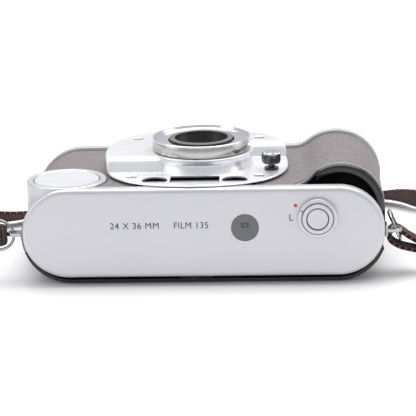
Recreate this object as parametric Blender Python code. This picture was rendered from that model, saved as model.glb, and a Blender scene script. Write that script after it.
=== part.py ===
"""Compact 35 mm film camera with a round flash, a hand grip and a woven strap.

The camera lies on its back. +Z is forward along the lens, +X is the photographer's right and
-Y is the camera's top. The origin is on the resting plane, under the middle of the body's
length and height. Lengths below are millimetres; MM turns them into metres.
"""
import math

import bmesh
import bpy
from mathutils import Matrix, Vector

MM = 0.001

# ---- driving dimensions -------------------------------------------------------------------
COVER_LENGTH = 130.0       # end to end over the top cover
HEIGHT = 66.5              # top face to bottom face
BODY_DEPTH = 35.3          # resting plane to the leather front
CLEAR = 0.3                # gap between pieces that touch on the real camera

COVER_BACK = 3.15          # the top cover's rear edge above the resting plane
COVER_STEP = 0.75          # the cover's front edge stands this far before the leather
COVER_RIM = 4.4            # how far the covers' side walls reach along Y
COVER_WALL = 1.0
COVER_ROUND = 1.35
BOTTOM_PROUD = 0.8         # the bottom cover's rim stands this far outside the leather
END_PROUD = 0.85           # the body's round ends pass the top cover by this much
SKIN = 1.2                 # leather and door thickness
CORE_BACK = 4.6            # rear face of the chassis, in front of the film path
SEAM_Z = 11.6              # height where the leather stops and the rear shells begin

GRIP_OUT = 1.4             # the grip's axis outside the round end's axis
GRIP_SUNK = 10.2           # the grip's axis behind the leather front
GRIP_R = 16.0
COVE_R = 10.66
GRIP_DOWN = 15.55          # top face to the leather's edge on the grip
GRIP_CAP_DEPTH = 2.3
GRIP_CAP_IN = 8.4          # the end cap begins this far inside the grip's axis
TRIM_WIDTH = 0.6

LENS_X = -1.2
LENS_Y = 0.65
LENS_RING_R = 18.1
LENS_RING_HEIGHT = 4.5
LENS_RING_DISH = 1.2
CELL_R = 11.8
CELL_MOUTH_R = 9.75
CELL_SUNK = 0.6            # the cell's front behind the lens ring's lip
CELL_TRAVEL_ROOM = 14.0
HOUSING_R = 15.9
HOUSING_BACK = 14.0
BLADE_THICK = 0.5
BLADE_PIVOT_R = 10.8
BLADE_R = 5.0

PANEL_X = -2.85
PANEL_HALF_X = 33.8
PANEL_MARGIN = 0.65        # the panel's far edges inside the top and bottom faces
PANEL_POWER = 2.35         # exponent of the panel's rounded outline
PANEL_THIN = 0.6           # thickness of the panel's lower level
PANEL_RAISE = 5.25         # its raised level above the lower one
BOSS_R = 19.3
BOSS_RISE = 0.4
SHOULDER_LEFT_Y = -10.4
SHOULDER_RIGHT_Y = 11.5

FLASH_IN = 15.23           # the flash's centre inside the top cover's end
FLASH_DOWN = 16.09         # top face to the flash's centre
FLASH_R = 14.59
FLASH_GLASS_R = 11.8
FLASH_STEP = 0.25          # the flash stands this far before the cover's front edge
FLASH_DEEP = 7.1
FLASH_SKIRT = 20.5
FLASH_SKIRT_OUT = 9.03

FINDER_X = -2.9
FINDER_DOWN = 9.85         # top face to the window row
FINDER_WIDE = 17.8
FINDER_HIGH = 9.4
AF_SPACING = 28.8
AF_R = 4.65
SCREW_SPACING_X = 46.2
SCREW_SPACING_Y = 37.3
SCREW_DOWN = 14.45
SCREW_R = 1.7

TIMER_X = 24.7
TIMER_Y = -9.8
TIMER_HEAD_R = 3.43
TIMER_LIFT = 2.35          # lower level to the back of the knob's head
TIMER_HEAD_LONG = 4.3
TIMER_STEM_R = 1.2
TIMER_STEM_SUNK = 0.25
TIMER_LAMP_R = 2.6

RELEASE_IN = 8.7
RELEASE_SUNK = 10.35       # the release's axis behind the leather front
BUTTON_R = 3.76
COLLAR_R = 5.5
LOCK_R = 7.1
RELEASE_PROUD = 2.4
LCD_X = 15.05
LCD_Z = 21.5
LCD_R = 4.9

CARTRIDGE_X = -43.5
CARTRIDGE_Z = 14.9
CARTRIDGE_R = 13.0
SPOOL_X = 35.0
SPOOL_Z = 13.0
SPOOL_ROOM_R = 10.5
SPOOL_R = 5.0
MOTOR_R = 3.7
SPROCKET_X = 20.6
SPROCKET_Z = 8.0
SPROCKET_R = 2.6
CHAMBER_TOP_Y = -23.5
CHAMBER_BOTTOM_Y = 24.5
GATE_WIDE = 36.0
GATE_HIGH = 24.0
GATE_DEPTH = 12.5

BATTERY_OUT = 1.4          # the battery outside the grip's axis
BATTERY_Z = 26.5
BATTERY_R = 8.5
BATTERY_LONG = 34.5
BATTERY_TOP_Y = -3.9
BATTERY_DOOR_X = 17.0
BATTERY_DOOR_Z = 16.0
TRIPOD_X = 8.0
TRIPOD_Z = 17.0
TRIPOD_R = 5.0
TRIPOD_BORE_R = 3.2

LUG_DOWN = 9.05            # top face to the lugs
LUG_RISE = 0.05            # the lugs before the middle of the body's depth
LUG_EYE = 3.0              # lug's foot to the eye's centre
LUG_THICK = 1.4
RING_R = 5.5
RING_WIRE = 0.5            # half the ring's radial thickness
RING_HALF = 0.95           # half its thickness along its own axis, two turns of wire
STRAP_WIDE = 9.0
STRAP_THICK = 2.0
STRAP_END_WIDE = 7.0       # the strap narrows where it passes through a ring

# ---- sizes that follow --------------------------------------------------------------------
TOP_Y = -HEIGHT / 2
BOTTOM_Y = HEIGHT / 2
COVER_EDGE_Y = TOP_Y + COVER_RIM
BASE_EDGE_Y = BOTTOM_Y - COVER_RIM
BODY_TOP_Y = COVER_EDGE_Y + CLEAR
BODY_BOTTOM_Y = BASE_EDGE_Y - CLEAR
BODY_R = BODY_DEPTH / 2
BODY_END_X = COVER_LENGTH / 2 + END_PROUD
END_X = BODY_END_X - BODY_R
GRIP_X = END_X + GRIP_OUT
GRIP_CAP_X = GRIP_X - GRIP_CAP_IN
GRIP_Z = BODY_DEPTH - GRIP_SUNK
GRIP_TOP_Y = TOP_Y + GRIP_DOWN
COVER_FRONT = BODY_DEPTH + COVER_STEP
CORE_INSET = SKIN + CLEAR
CORE_FRONT = BODY_DEPTH - CORE_INSET
FINDER_Y = TOP_Y + FINDER_DOWN
FRAME_EDGE_Y = FINDER_Y + FINDER_HIGH / 2
LEATHER_TOP_Y = GRIP_TOP_Y + CLEAR
CAP_TOP_Y = GRIP_TOP_Y - TRIM_WIDTH - CLEAR - GRIP_CAP_DEPTH
PANEL_HALF_Y = HEIGHT / 2 - PANEL_MARGIN
PANEL_BACK = COVER_FRONT + CLEAR
PANEL_LOW = PANEL_BACK + PANEL_THIN
PANEL_HIGH = PANEL_LOW + PANEL_RAISE
BOSS_TOP = PANEL_HIGH + BOSS_RISE
LENS_RING_BACK = BOSS_TOP + CLEAR
LENS_RING_FRONT = LENS_RING_BACK + LENS_RING_HEIGHT
CELL_FRONT = LENS_RING_FRONT - CELL_SUNK
PANEL_PAD_BACK = BODY_DEPTH + CLEAR
FLASH_X = FLASH_IN - COVER_LENGTH / 2
FLASH_SKIRT_X = FLASH_X - FLASH_SKIRT_OUT
FLASH_Y = TOP_Y + FLASH_DOWN
FLASH_FRONT = COVER_FRONT + FLASH_STEP
FLASH_FLOOR = FLASH_FRONT - FLASH_DEEP
FLASH_SKIRT_Z = FLASH_FRONT - FLASH_SKIRT
SCREW_NEAR_Y = TOP_Y + SCREW_DOWN
TIMER_HEAD_BACK = PANEL_LOW + TIMER_LIFT
TIMER_HEAD_FRONT = TIMER_HEAD_BACK + TIMER_HEAD_LONG
TIMER_STEM_BACK = PANEL_LOW - TIMER_STEM_SUNK
RELEASE_X = GRIP_X - RELEASE_IN
RELEASE_Z = BODY_DEPTH - RELEASE_SUNK
BATTERY_X = GRIP_X + BATTERY_OUT
LUG_Y = TOP_Y + LUG_DOWN
LUG_Z = BODY_R + LUG_RISE
LUG_ROOT_X = BODY_END_X + CLEAR
EYE_X = LUG_ROOT_X + LUG_EYE
SCREW_HOLE_R = SCREW_R + CLEAR


# ---- scene, materials and meshes ----------------------------------------------------------
def clear_scene():
    for old in list(bpy.data.objects):
        bpy.data.objects.remove(old, do_unlink=True)


def paint(name, colour, roughness, metallic=0.0, alpha=1.0):
    """A Principled material for one sub-part."""
    look = bpy.data.materials.new(name)
    look.use_nodes = True
    shader = look.node_tree.nodes["Principled BSDF"]
    shader.inputs["Base Color"].default_value = (*colour, 1.0)
    shader.inputs["Roughness"].default_value = roughness
    shader.inputs["Metallic"].default_value = metallic
    shader.inputs["Alpha"].default_value = alpha
    return look


SILVER = ((0.78, 0.78, 0.80), 0.32, 0.9)
CHROME = ((0.85, 0.85, 0.86), 0.12, 1.0)
BLACK = ((0.02, 0.02, 0.022), 0.45)
GLOSS_BLACK = ((0.008, 0.008, 0.01), 0.08)
LEATHER = ((0.30, 0.26, 0.27), 0.75)
GLASS = ((0.75, 0.80, 0.85), 0.05, 0.0, 0.35)
STRAP_BROWN = ((0.07, 0.028, 0.022), 0.9)
BRASS = ((0.70, 0.55, 0.28), 0.35, 0.9)
GREEN_BOARD = ((0.03, 0.22, 0.10), 0.6)
STEEL = ((0.6, 0.6, 0.62), 0.3, 1.0)


def node(name, mesh, look, pivot=(0.0, 0.0, 0.0)):
    """Turn a bmesh in millimetres into a named object whose origin is at the pivot."""
    shift = Matrix.Translation(-Vector(pivot))
    mesh.transform(Matrix.Scale(MM, 4) @ shift)
    bmesh.ops.recalc_face_normals(mesh, faces=mesh.faces)
    data = bpy.data.meshes.new(name)
    mesh.to_mesh(data)
    mesh.free()
    data.shade_smooth()
    data.set_sharp_from_angle(angle=math.radians(32))
    part = bpy.data.objects.new(name, data)
    part.location = Vector(pivot) * MM
    if look is not None:
        data.materials.append(paint(name, *look))
    bpy.context.scene.collection.objects.link(part)
    return part


def carve(part, *shapes, operation="DIFFERENCE"):
    """Cut bmesh shapes out of a part, or join them to it, with live Boolean modifiers."""
    for shape in shapes:
        tool = node(part.name + "_tool", shape, None)
        tool.hide_render = True
        tool.display_type = "WIRE"
        change = part.modifiers.new(operation.lower(), "BOOLEAN")
        change.operation = operation
        change.solver = "EXACT"
        change.object = tool


def join(part, *shapes):
    carve(part, *shapes, operation="UNION")


def place(axis, u, v, along):
    """A point from two outline coordinates and a distance along the extrusion axis."""
    return {"X": (along, u, v), "Y": (u, along, v), "Z": (u, v, along)}[axis]


def prism(outline, axis, low, high):
    """Extrude a closed outline; it holds (y, z), (x, z) or (x, y) pairs for X, Y or Z."""
    mesh = bmesh.new()
    floor = [mesh.verts.new(place(axis, u, v, low)) for u, v in outline]
    roof = [mesh.verts.new(place(axis, u, v, high)) for u, v in outline]
    count = len(outline)
    for i in range(count):
        k = (i + 1) % count
        mesh.faces.new((floor[i], floor[k], roof[k], roof[i]))
    mesh.faces.new(floor)
    mesh.faces.new(roof)
    return mesh


def box(x, y, z):
    """A block from three (low, high) pairs."""
    corners = [(x[0], y[0]), (x[1], y[0]), (x[1], y[1]), (x[0], y[1])]
    return prism(corners, "Z", *z)


def turned(profile, centre, axis, steps=32):
    """Spin a closed (radius, distance) profile about an axis through centre=(u, v)."""
    mesh = bmesh.new()
    rings = []
    for radius, along in profile:
        if radius < 1e-6:
            rings.append([mesh.verts.new(place(axis, centre[0], centre[1], along))])
            continue
        ring = []
        for i in range(steps):
            turn = 2 * math.pi * i / steps
            u = centre[0] + radius * math.cos(turn)
            v = centre[1] + radius * math.sin(turn)
            ring.append(mesh.verts.new(place(axis, u, v, along)))
        rings.append(ring)
    for a, b in zip(rings, rings[1:] + rings[:1]):
        if len(a) == 1 and len(b) == 1:
            continue
        for i in range(steps):
            k = (i + 1) % steps
            if len(a) == 1:
                mesh.faces.new((a[0], b[i], b[k]))
            elif len(b) == 1:
                mesh.faces.new((a[i], a[k], b[0]))
            else:
                mesh.faces.new((a[i], a[k], b[k], b[i]))
    return mesh


def disc(centre, axis, radius, low, high, steps=32):
    return turned([(0, low), (radius, low), (radius, high), (0, high)], centre, axis, steps)


def tube(centre, axis, outer, inner, low, high, steps=32):
    corners = [(outer, low), (outer, high), (inner, high), (inner, low)]
    return turned(corners, centre, axis, steps)


def arc(x, z, radius, start, end, steps):
    """Points on an arc from start to end degrees, both included."""
    turns = [math.radians(start + (end - start) * i / steps) for i in range(steps + 1)]
    return [(x + radius * math.cos(t), z + radius * math.sin(t)) for t in turns]


# ---- outlines -----------------------------------------------------------------------------
def cover_outline(inset=0.0):
    """The top cover's long round-ended outline in (x, z)."""
    radius = (COVER_FRONT - COVER_BACK) / 2
    mid_z = (COVER_FRONT + COVER_BACK) / 2
    mid_x = COVER_LENGTH / 2 - radius
    right = arc(mid_x, mid_z, radius - inset, -90, 90, 14)
    left = arc(-mid_x, mid_z, radius - inset, 90, 270, 14)
    return right + left


def end_angle(radius, mid_z, height):
    """Angle in degrees of a point at a height on a round end."""
    return math.degrees(math.asin((height - mid_z) / radius))


def front_path(inset, left_z, right_z, start_x=None, back=0.0, depth=BODY_DEPTH):
    """Open path over the camera's front: left end, flat front, cove, grip and right end.

    It starts at height left_z on the left end, or at start_x on the flat front, and stops at
    height right_z on the right end. The inset moves it into the body.
    """
    radius = (depth - back) / 2 - inset
    mid_z = (depth + back) / 2
    front = depth - inset
    grip = GRIP_R + (depth - BODY_DEPTH) - inset
    cove = COVE_R - (depth - BODY_DEPTH) + inset
    reach = math.sqrt((grip + cove) ** 2 - (front + cove - GRIP_Z) ** 2)
    cove_x = GRIP_X - reach
    meet = math.degrees(math.atan2(front + cove - GRIP_Z, cove_x - GRIP_X))
    across = Vector((END_X - GRIP_X, mid_z - GRIP_Z))
    tangent = math.degrees(math.atan2(across.y, across.x) + math.acos((grip - radius) / across.length))
    if start_x is None:
        angle = 180 - end_angle(radius, mid_z, left_z)
        path = arc(-END_X, mid_z, radius, angle, 90, 12)
    else:
        path = [(start_x, front)]
    path += arc(cove_x, front + cove, cove, -90, meet - 180, 5)
    path += arc(GRIP_X, GRIP_Z, grip, meet, tangent, 14)[1:]
    path += arc(END_X, mid_z, radius, tangent, end_angle(radius, mid_z, right_z), 4)[1:]
    return path


def path_from(path, x):
    """The part of a path that follows its first crossing of x."""
    for i, (a, b) in enumerate(zip(path, path[1:])):
        if b[0] > x:
            share = (x - a[0]) / (b[0] - a[0])
            return [(x, a[1] + share * (b[1] - a[1]))] + path[i + 1:]


def back_path(inset, right_z, left_z, right_x=None):
    """Open path over the camera's back, from the right end down and across to the left end."""
    radius = BODY_R - inset
    down = arc(END_X, BODY_R, radius, end_angle(radius, BODY_R, right_z), -90, 8)
    up = arc(-END_X, BODY_R, radius, -90, -180 - end_angle(radius, BODY_R, left_z), 8)
    if right_x is not None:
        down = [(right_x, inset)]
    return down + up


def full_outline(inset, back, depth=BODY_DEPTH):
    """The whole body outline with the grip bulge, closed across the back."""
    mid_z = (depth + back) / 2
    radius = (depth - back) / 2 - inset
    path = front_path(inset, mid_z, mid_z, None, back, depth)
    path += arc(END_X, mid_z, radius, 0, -90, 8)[1:]
    path += arc(-END_X, mid_z, radius, -90, -180, 8)[:-1]
    return path


def band(outer, inner, low, high):
    """A shell between two open paths, extruded along Y."""
    return prism(outer + inner[::-1], "Y", low, high)


def cup(outline_at, rings):
    """A shell swept round an outline: each ring is (inset, y); both ends are capped."""
    mesh = bmesh.new()
    loops = []
    for inset, y in rings:
        loops.append([mesh.verts.new((x, y, z)) for x, z in outline_at(inset)])
    for a, b in zip(loops, loops[1:]):
        for i in range(len(a)):
            k = (i + 1) % len(a)
            mesh.faces.new((a[i], a[k], b[k], b[i]))
    mesh.faces.new(loops[0])
    mesh.faces.new(loops[-1])
    return mesh


def cup_rings(face_y, edge_y):
    """Rings of a cover: inside floor, inside wall, rim, outside wall, rounded edge, face."""
    inward = 1 if edge_y > face_y else -1
    rings = [
        (COVER_WALL + 0.6, face_y + inward * COVER_WALL),
        (COVER_WALL, face_y + inward * (COVER_WALL + 0.6)),
        (COVER_WALL, edge_y),
        (0.0, edge_y),
    ]
    for step in range(4):
        turn = math.radians(30 * step)
        inset = COVER_ROUND * (1 - math.cos(turn))
        rings.append((inset, face_y + inward * COVER_ROUND * (1 - math.sin(turn))))
    return rings


def panel_outline(inset=0.0, steps=56):
    """Rounded outline of the front panel in (x, y): |x/a|^n + |y/b|^n = 1."""
    points = []
    for i in range(steps):
        turn = 2 * math.pi * i / steps
        c, s = math.cos(turn), math.sin(turn)
        x = math.copysign(abs(c) ** (2 / PANEL_POWER), c) * (PANEL_HALF_X - inset)
        y = math.copysign(abs(s) ** (2 / PANEL_POWER), s) * (PANEL_HALF_Y - inset)
        points.append((PANEL_X + x, LENS_Y + y))
    return points


def drop_slot(x, z, radius):
    """Outline of a round chamber that opens straight down to the back."""
    return [(x - radius, -5.0), (x + radius, -5.0)] + arc(x, z, radius, 0, 180, 12)


# ---- body shells --------------------------------------------------------------------------
def make_covers():
    cover = node("top_cover", cup(cover_outline, cup_rings(TOP_Y, COVER_EDGE_Y)), SILVER)
    flash_room = disc((FLASH_X, FLASH_Y), "Z", FLASH_R + CLEAR, FLASH_SKIRT_Z - CLEAR, 45, 40)
    release = disc((RELEASE_X, RELEASE_Z), "Y", BUTTON_R + CLEAR, TOP_Y - 1, TOP_Y + 3, 28)
    lcd = disc((LCD_X, LCD_Z), "Y", LCD_R + CLEAR, TOP_Y - 1, TOP_Y + 3, 28)
    carve(cover, flash_room, release, lcd)

    def base_outline(inset):
        return full_outline(inset - BOTTOM_PROUD + 0.15, 0.45, BODY_DEPTH)

    base = node("bottom_cover", cup(base_outline, cup_rings(BOTTOM_Y, BASE_EDGE_Y)), SILVER)
    half_x = BATTERY_DOOR_X / 2 + CLEAR
    half_z = BATTERY_DOOR_Z / 2 + CLEAR
    door = box(
        (BATTERY_X - half_x, BATTERY_X + half_x),
        (BOTTOM_Y - 3, BOTTOM_Y + 1),
        (BATTERY_Z - half_z, BATTERY_Z + half_z),
    )
    bush = disc((TRIPOD_X, TRIPOD_Z), "Y", TRIPOD_R + CLEAR, BOTTOM_Y - 3, BOTTOM_Y + 1, 28)
    carve(base, door, bush)


def make_core():
    """Black chassis with the film chambers, the gate, the lens well and the battery bay."""
    outline = full_outline(CORE_INSET, CORE_BACK - CORE_INSET)
    core = node("body_core", prism(outline, "Y", BODY_TOP_Y, BODY_BOTTOM_Y), BLACK)
    mid_z = (CORE_FRONT + CORE_BACK) / 2
    radius = (CORE_FRONT - CORE_BACK) / 2 - 0.05
    step = [(28.0, mid_z + radius)] + arc(END_X, mid_z, radius, 90, -40, 12)
    step += [(75.0, step[-1][1]), (75.0, 50.0), (28.0, 50.0)]
    above_cover = prism(step, "Y", BODY_TOP_Y - 1, GRIP_TOP_Y - TRIM_WIDTH)
    chamber_y = (CHAMBER_TOP_Y, CHAMBER_BOTTOM_Y)
    cartridge = prism(drop_slot(CARTRIDGE_X, CARTRIDGE_Z, CARTRIDGE_R), "Y", *chamber_y)
    spool = prism(drop_slot(SPOOL_X, SPOOL_Z, SPOOL_ROOM_R), "Y", *chamber_y)
    sprocket = prism(drop_slot(SPROCKET_X, SPROCKET_Z, SPROCKET_R + 0.4), "Y", *chamber_y)
    gate = box(
        (LENS_X - GATE_WIDE / 2, LENS_X + GATE_WIDE / 2),
        (LENS_Y - GATE_HIGH / 2, LENS_Y + GATE_HIGH / 2),
        (0.0, GATE_DEPTH + 1),
    )
    well = disc((LENS_X, LENS_Y), "Z", HOUSING_R + 0.5, GATE_DEPTH, 50, 40)
    flash = disc((FLASH_X, FLASH_Y), "Z", FLASH_R + CLEAR, FLASH_FLOOR - CLEAR, 50, 40)
    skirt = disc((FLASH_X, FLASH_Y), "Z", FLASH_R + CLEAR, FLASH_SKIRT_Z - CLEAR, 40, 40)
    beside = box((FLASH_SKIRT_X + CLEAR, 0), (-60, 20), (0, 45))
    bmesh_skirt = cut_mesh(skirt, FLASH_SKIRT_X + CLEAR)
    beside.free()
    capacitor = disc((CAPACITOR_X, CAPACITOR_Z), "Y", CAPACITOR_R + CLEAR, -10, 40, 24)
    battery = disc((BATTERY_X, BATTERY_Z), "Y", BATTERY_R + CLEAR, BATTERY_TOP_Y - 2.4, 40, 28)
    motor = disc((SPOOL_X, SPOOL_Z), "Y", MOTOR_R + CLEAR, CHAMBER_BOTTOM_Y - 1, 40, 24)
    fork = disc((CARTRIDGE_X, CARTRIDGE_Z), "Y", 2.8, CHAMBER_BOTTOM_Y - 1, 40, 24)
    bush = disc((TRIPOD_X, TRIPOD_Z), "Y", TRIPOD_R + CLEAR, BODY_BOTTOM_Y - 2.5, 40, 28)
    finder = box(
        (FINDER_X - 7.1, FINDER_X + 7.1),
        (BODY_TOP_Y - 1, FINDER_Y + 4.4),
        (0.0, 50.0),
    )
    sights = [
        disc((FINDER_X + side * AF_SPACING / 2, FINDER_Y - 0.8), "Z", 4.5, 23.7, 50, 24)
        for side in (-1, 1)
    ]
    carve(core, above_cover, cartridge, spool, sprocket, gate, well, flash, bmesh_skirt)
    carve(core, capacitor, battery, motor, fork, bush, finder, *sights)


def cut_mesh(mesh, x_limit):
    """Keep the part of a convex mesh on the low side of x_limit, closed with a flat face."""
    faces = mesh.verts[:] + mesh.edges[:] + mesh.faces[:]
    done = bmesh.ops.bisect_plane(
        mesh, geom=faces, dist=1e-5, plane_co=(x_limit, 0, 0), plane_no=(1, 0, 0), clear_outer=True
    )
    rim = [item for item in done["geom_cut"] if isinstance(item, bmesh.types.BMEdge)]
    bmesh.ops.contextual_create(mesh, geom=rim)
    return mesh


CAPACITOR_X = -24.4
CAPACITOR_Z = 21.0
CAPACITOR_R = 5.0


def make_skins():
    """Leather on the front, black shells behind it, the grip's end cap and its trim."""
    lens_side = PANEL_X - PANEL_HALF_X + 12
    left_outer = front_path(0.0, SEAM_Z + CLEAR, SEAM_Z)[:13] + [(lens_side, BODY_DEPTH)]
    left_inner = front_path(SKIN, SEAM_Z + CLEAR, SEAM_Z)[:13]
    left_inner += [(lens_side, BODY_DEPTH - SKIN)]
    left = node("leather_left", band(left_outer, left_inner, BODY_TOP_Y, BODY_BOTTOM_Y), LEATHER)
    room = disc((FLASH_X, FLASH_Y), "Z", FLASH_R + CLEAR, FLASH_SKIRT_Z - CLEAR, 45, 40)
    carve(left, room)

    start = PANEL_X + PANEL_HALF_X - 12
    outer = front_path(0.0, 0, SEAM_Z + CLEAR, start)
    inner = front_path(SKIN, 0, SEAM_Z + CLEAR, start)
    grip = node("leather_grip", band(outer, inner, BODY_TOP_Y, BODY_BOTTOM_Y), LEATHER)
    far = GRIP_X + 30.4
    slant = GRIP_X - 20.1
    corner = [(slant - 0.5, BODY_TOP_Y - 1), (far, BODY_TOP_Y - 1), (far, LEATHER_TOP_Y)]
    corner += [(GRIP_CAP_X - 0.7, LEATHER_TOP_Y), (slant, BODY_TOP_Y)]
    carve(grip, prism(corner, "Z", 10, 50))

    outer = path_from(outer, GRIP_CAP_X)
    inner = path_from(inner, GRIP_CAP_X)
    trim_y = GRIP_TOP_Y - TRIM_WIDTH
    node("grip_trim", band(outer, inner, trim_y, GRIP_TOP_Y), SILVER)
    mid_z = (CORE_FRONT + CORE_BACK) / 2
    radius = (CORE_FRONT - CORE_BACK) / 2 + CLEAR
    low = end_angle(radius, mid_z, SEAM_Z + CLEAR)
    under = [(outer[0][0], mid_z + radius)] + arc(END_X, mid_z, radius, 90, low, 10)
    cap = band(outer, under, CAP_TOP_Y, trim_y - CLEAR)
    node("grip_end_cap", cap, GLOSS_BLACK)

    outer = back_path(0.0, SEAM_Z, SEAM_Z)
    inner = back_path(SKIN, SEAM_Z, SEAM_Z)
    frame = node("rear_frame", band(outer, inner, BODY_TOP_Y, FRAME_EDGE_Y - CLEAR), BLACK)
    sight = box((FINDER_X - 6, FINDER_X + 6), (FINDER_Y - 3.9, FINDER_Y + 3.5), (-1, 5))
    carve(frame, sight)
    return outer, inner


def make_door(outer, inner):
    """Back door, its pressure plate and the latch that slides on the left end."""
    hinge = (END_X + math.sqrt(BODY_R ** 2 - (SEAM_Z - BODY_R) ** 2), 0.0, SEAM_Z)
    shell = band(outer, inner, FRAME_EDGE_Y, BODY_BOTTOM_Y)
    node("back_door", shell, BLACK, hinge)
    plate = box(
        (LENS_X - GATE_WIDE / 2 - 5, LENS_X + GATE_WIDE / 2 + 3),
        (LENS_Y - GATE_HIGH / 2 - 3, LENS_Y + GATE_HIGH / 2 + 3),
        (SKIN + CLEAR, CORE_BACK - 1.7),
    )
    node("pressure_plate", plate, STEEL, hinge)
    latch_x = -(BODY_END_X + CLEAR)
    latch = box((latch_x - 0.7, latch_x), (-5.0, 5.0), (SEAM_Z - 1.5, SEAM_Z + 4.0))
    node("door_latch", latch, BLACK)


# ---- front --------------------------------------------------------------------------------
def make_panel():
    """Silver front panel: thin lower level, raised level, lens boss and its openings."""
    panel = node("front_panel", prism(panel_outline(), "Z", PANEL_BACK, PANEL_LOW), SILVER)
    pad_y = (BODY_TOP_Y, BODY_BOTTOM_Y)
    pad = box((PANEL_X - 20, PANEL_X + 20), pad_y, (PANEL_PAD_BACK, PANEL_BACK + 0.2))
    rim = panel_outline(1.4)
    right = [p for p in rim if p[1] > SHOULDER_RIGHT_Y or (p[1] > SHOULDER_LEFT_Y and p[0] < LENS_X)]
    right.sort(key=lambda p: math.atan2(p[1] - LENS_Y, p[0] - LENS_X) % (2 * math.pi))
    shelf = [(LENS_X + 8, SHOULDER_RIGHT_Y), (PANEL_X + PANEL_HALF_X - 3.2, SHOULDER_RIGHT_Y)]
    wall_x = PANEL_X - PANEL_HALF_X + 2.6
    shelf += right + [(wall_x, SHOULDER_LEFT_Y), (LENS_X + 8, SHOULDER_LEFT_Y)]
    raised = prism(shelf, "Z", PANEL_BACK + 0.25, PANEL_HIGH)
    boss = disc((LENS_X, LENS_Y), "Z", BOSS_R, PANEL_BACK + 0.3, BOSS_TOP, 48)
    join(panel, pad, raised, boss)
    bore = disc((LENS_X, LENS_Y), "Z", HOUSING_R + CLEAR, 30, 50, 40)
    finder = box(
        (FINDER_X - FINDER_WIDE / 2, FINDER_X + FINDER_WIDE / 2),
        (FINDER_Y - FINDER_HIGH / 2, FINDER_Y + FINDER_HIGH / 2),
        (30, 50),
    )
    sights = [
        disc((FINDER_X + side * AF_SPACING / 2, FINDER_Y - 0.8), "Z", AF_R, 30, 50, 24)
        for side in (-1, 1)
    ]
    stem = disc((TIMER_X, TIMER_Y), "Z", TIMER_STEM_R + CLEAR, 30, 50, 16)
    carve(panel, bore, finder, stem, *sights)
    number = 0
    for far in (0, 1):
        for side in (-1, 1):
            number += 1
            x = FINDER_X + side * SCREW_SPACING_X / 2
            y = SCREW_NEAR_Y + far * SCREW_SPACING_Y
            top = PANEL_HIGH if far else PANEL_LOW
            floor = top - 1.8
            carve(panel, disc((x, y), "Z", SCREW_HOLE_R, floor, 50, 16))
            low = floor + CLEAR
            screw = node("front_screw_%d" % number, disc((x, y), "Z", SCREW_R, low, top - 0.1, 16), STEEL)
            carve(screw, box((x - 3, x + 3), (y - 0.25, y + 0.25), (top - 0.6, top + 1)))


def make_windows():
    half_x = FINDER_WIDE / 2 - CLEAR
    half_y = FINDER_HIGH / 2 - CLEAR
    x = (FINDER_X - half_x, FINDER_X + half_x)
    y = (FINDER_Y - half_y, FINDER_Y + half_y)
    node("viewfinder_window", box(x, y, (PANEL_PAD_BACK - 0.2, PANEL_LOW - 0.8)), GLASS)
    block = box((FINDER_X - 6.8, FINDER_X + 6.8), (FINDER_Y - 4.1, FINDER_Y + 4.1), (5.5, 34.5))
    node("viewfinder_block", block, GLASS)
    lens = box((FINDER_X - 5.7, FINDER_X + 5.7), (FINDER_Y - 3.6, FINDER_Y + 3.2), (0.6, 2.4))
    node("eyepiece", lens, GLASS)
    for side, name, unit in ((-1, "left", "af_emitter"), (1, "right", "af_sensor")):
        spot = (FINDER_X + side * AF_SPACING / 2, FINDER_Y - 0.8)
        glass = disc(spot, "Z", AF_R - CLEAR, PANEL_PAD_BACK - 0.2, PANEL_LOW - 0.8, 24)
        node("af_window_" + name, glass, GLASS)
        node(unit, disc(spot, "Z", 4.2, 24.0, 34.8, 20), BLACK)


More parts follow.
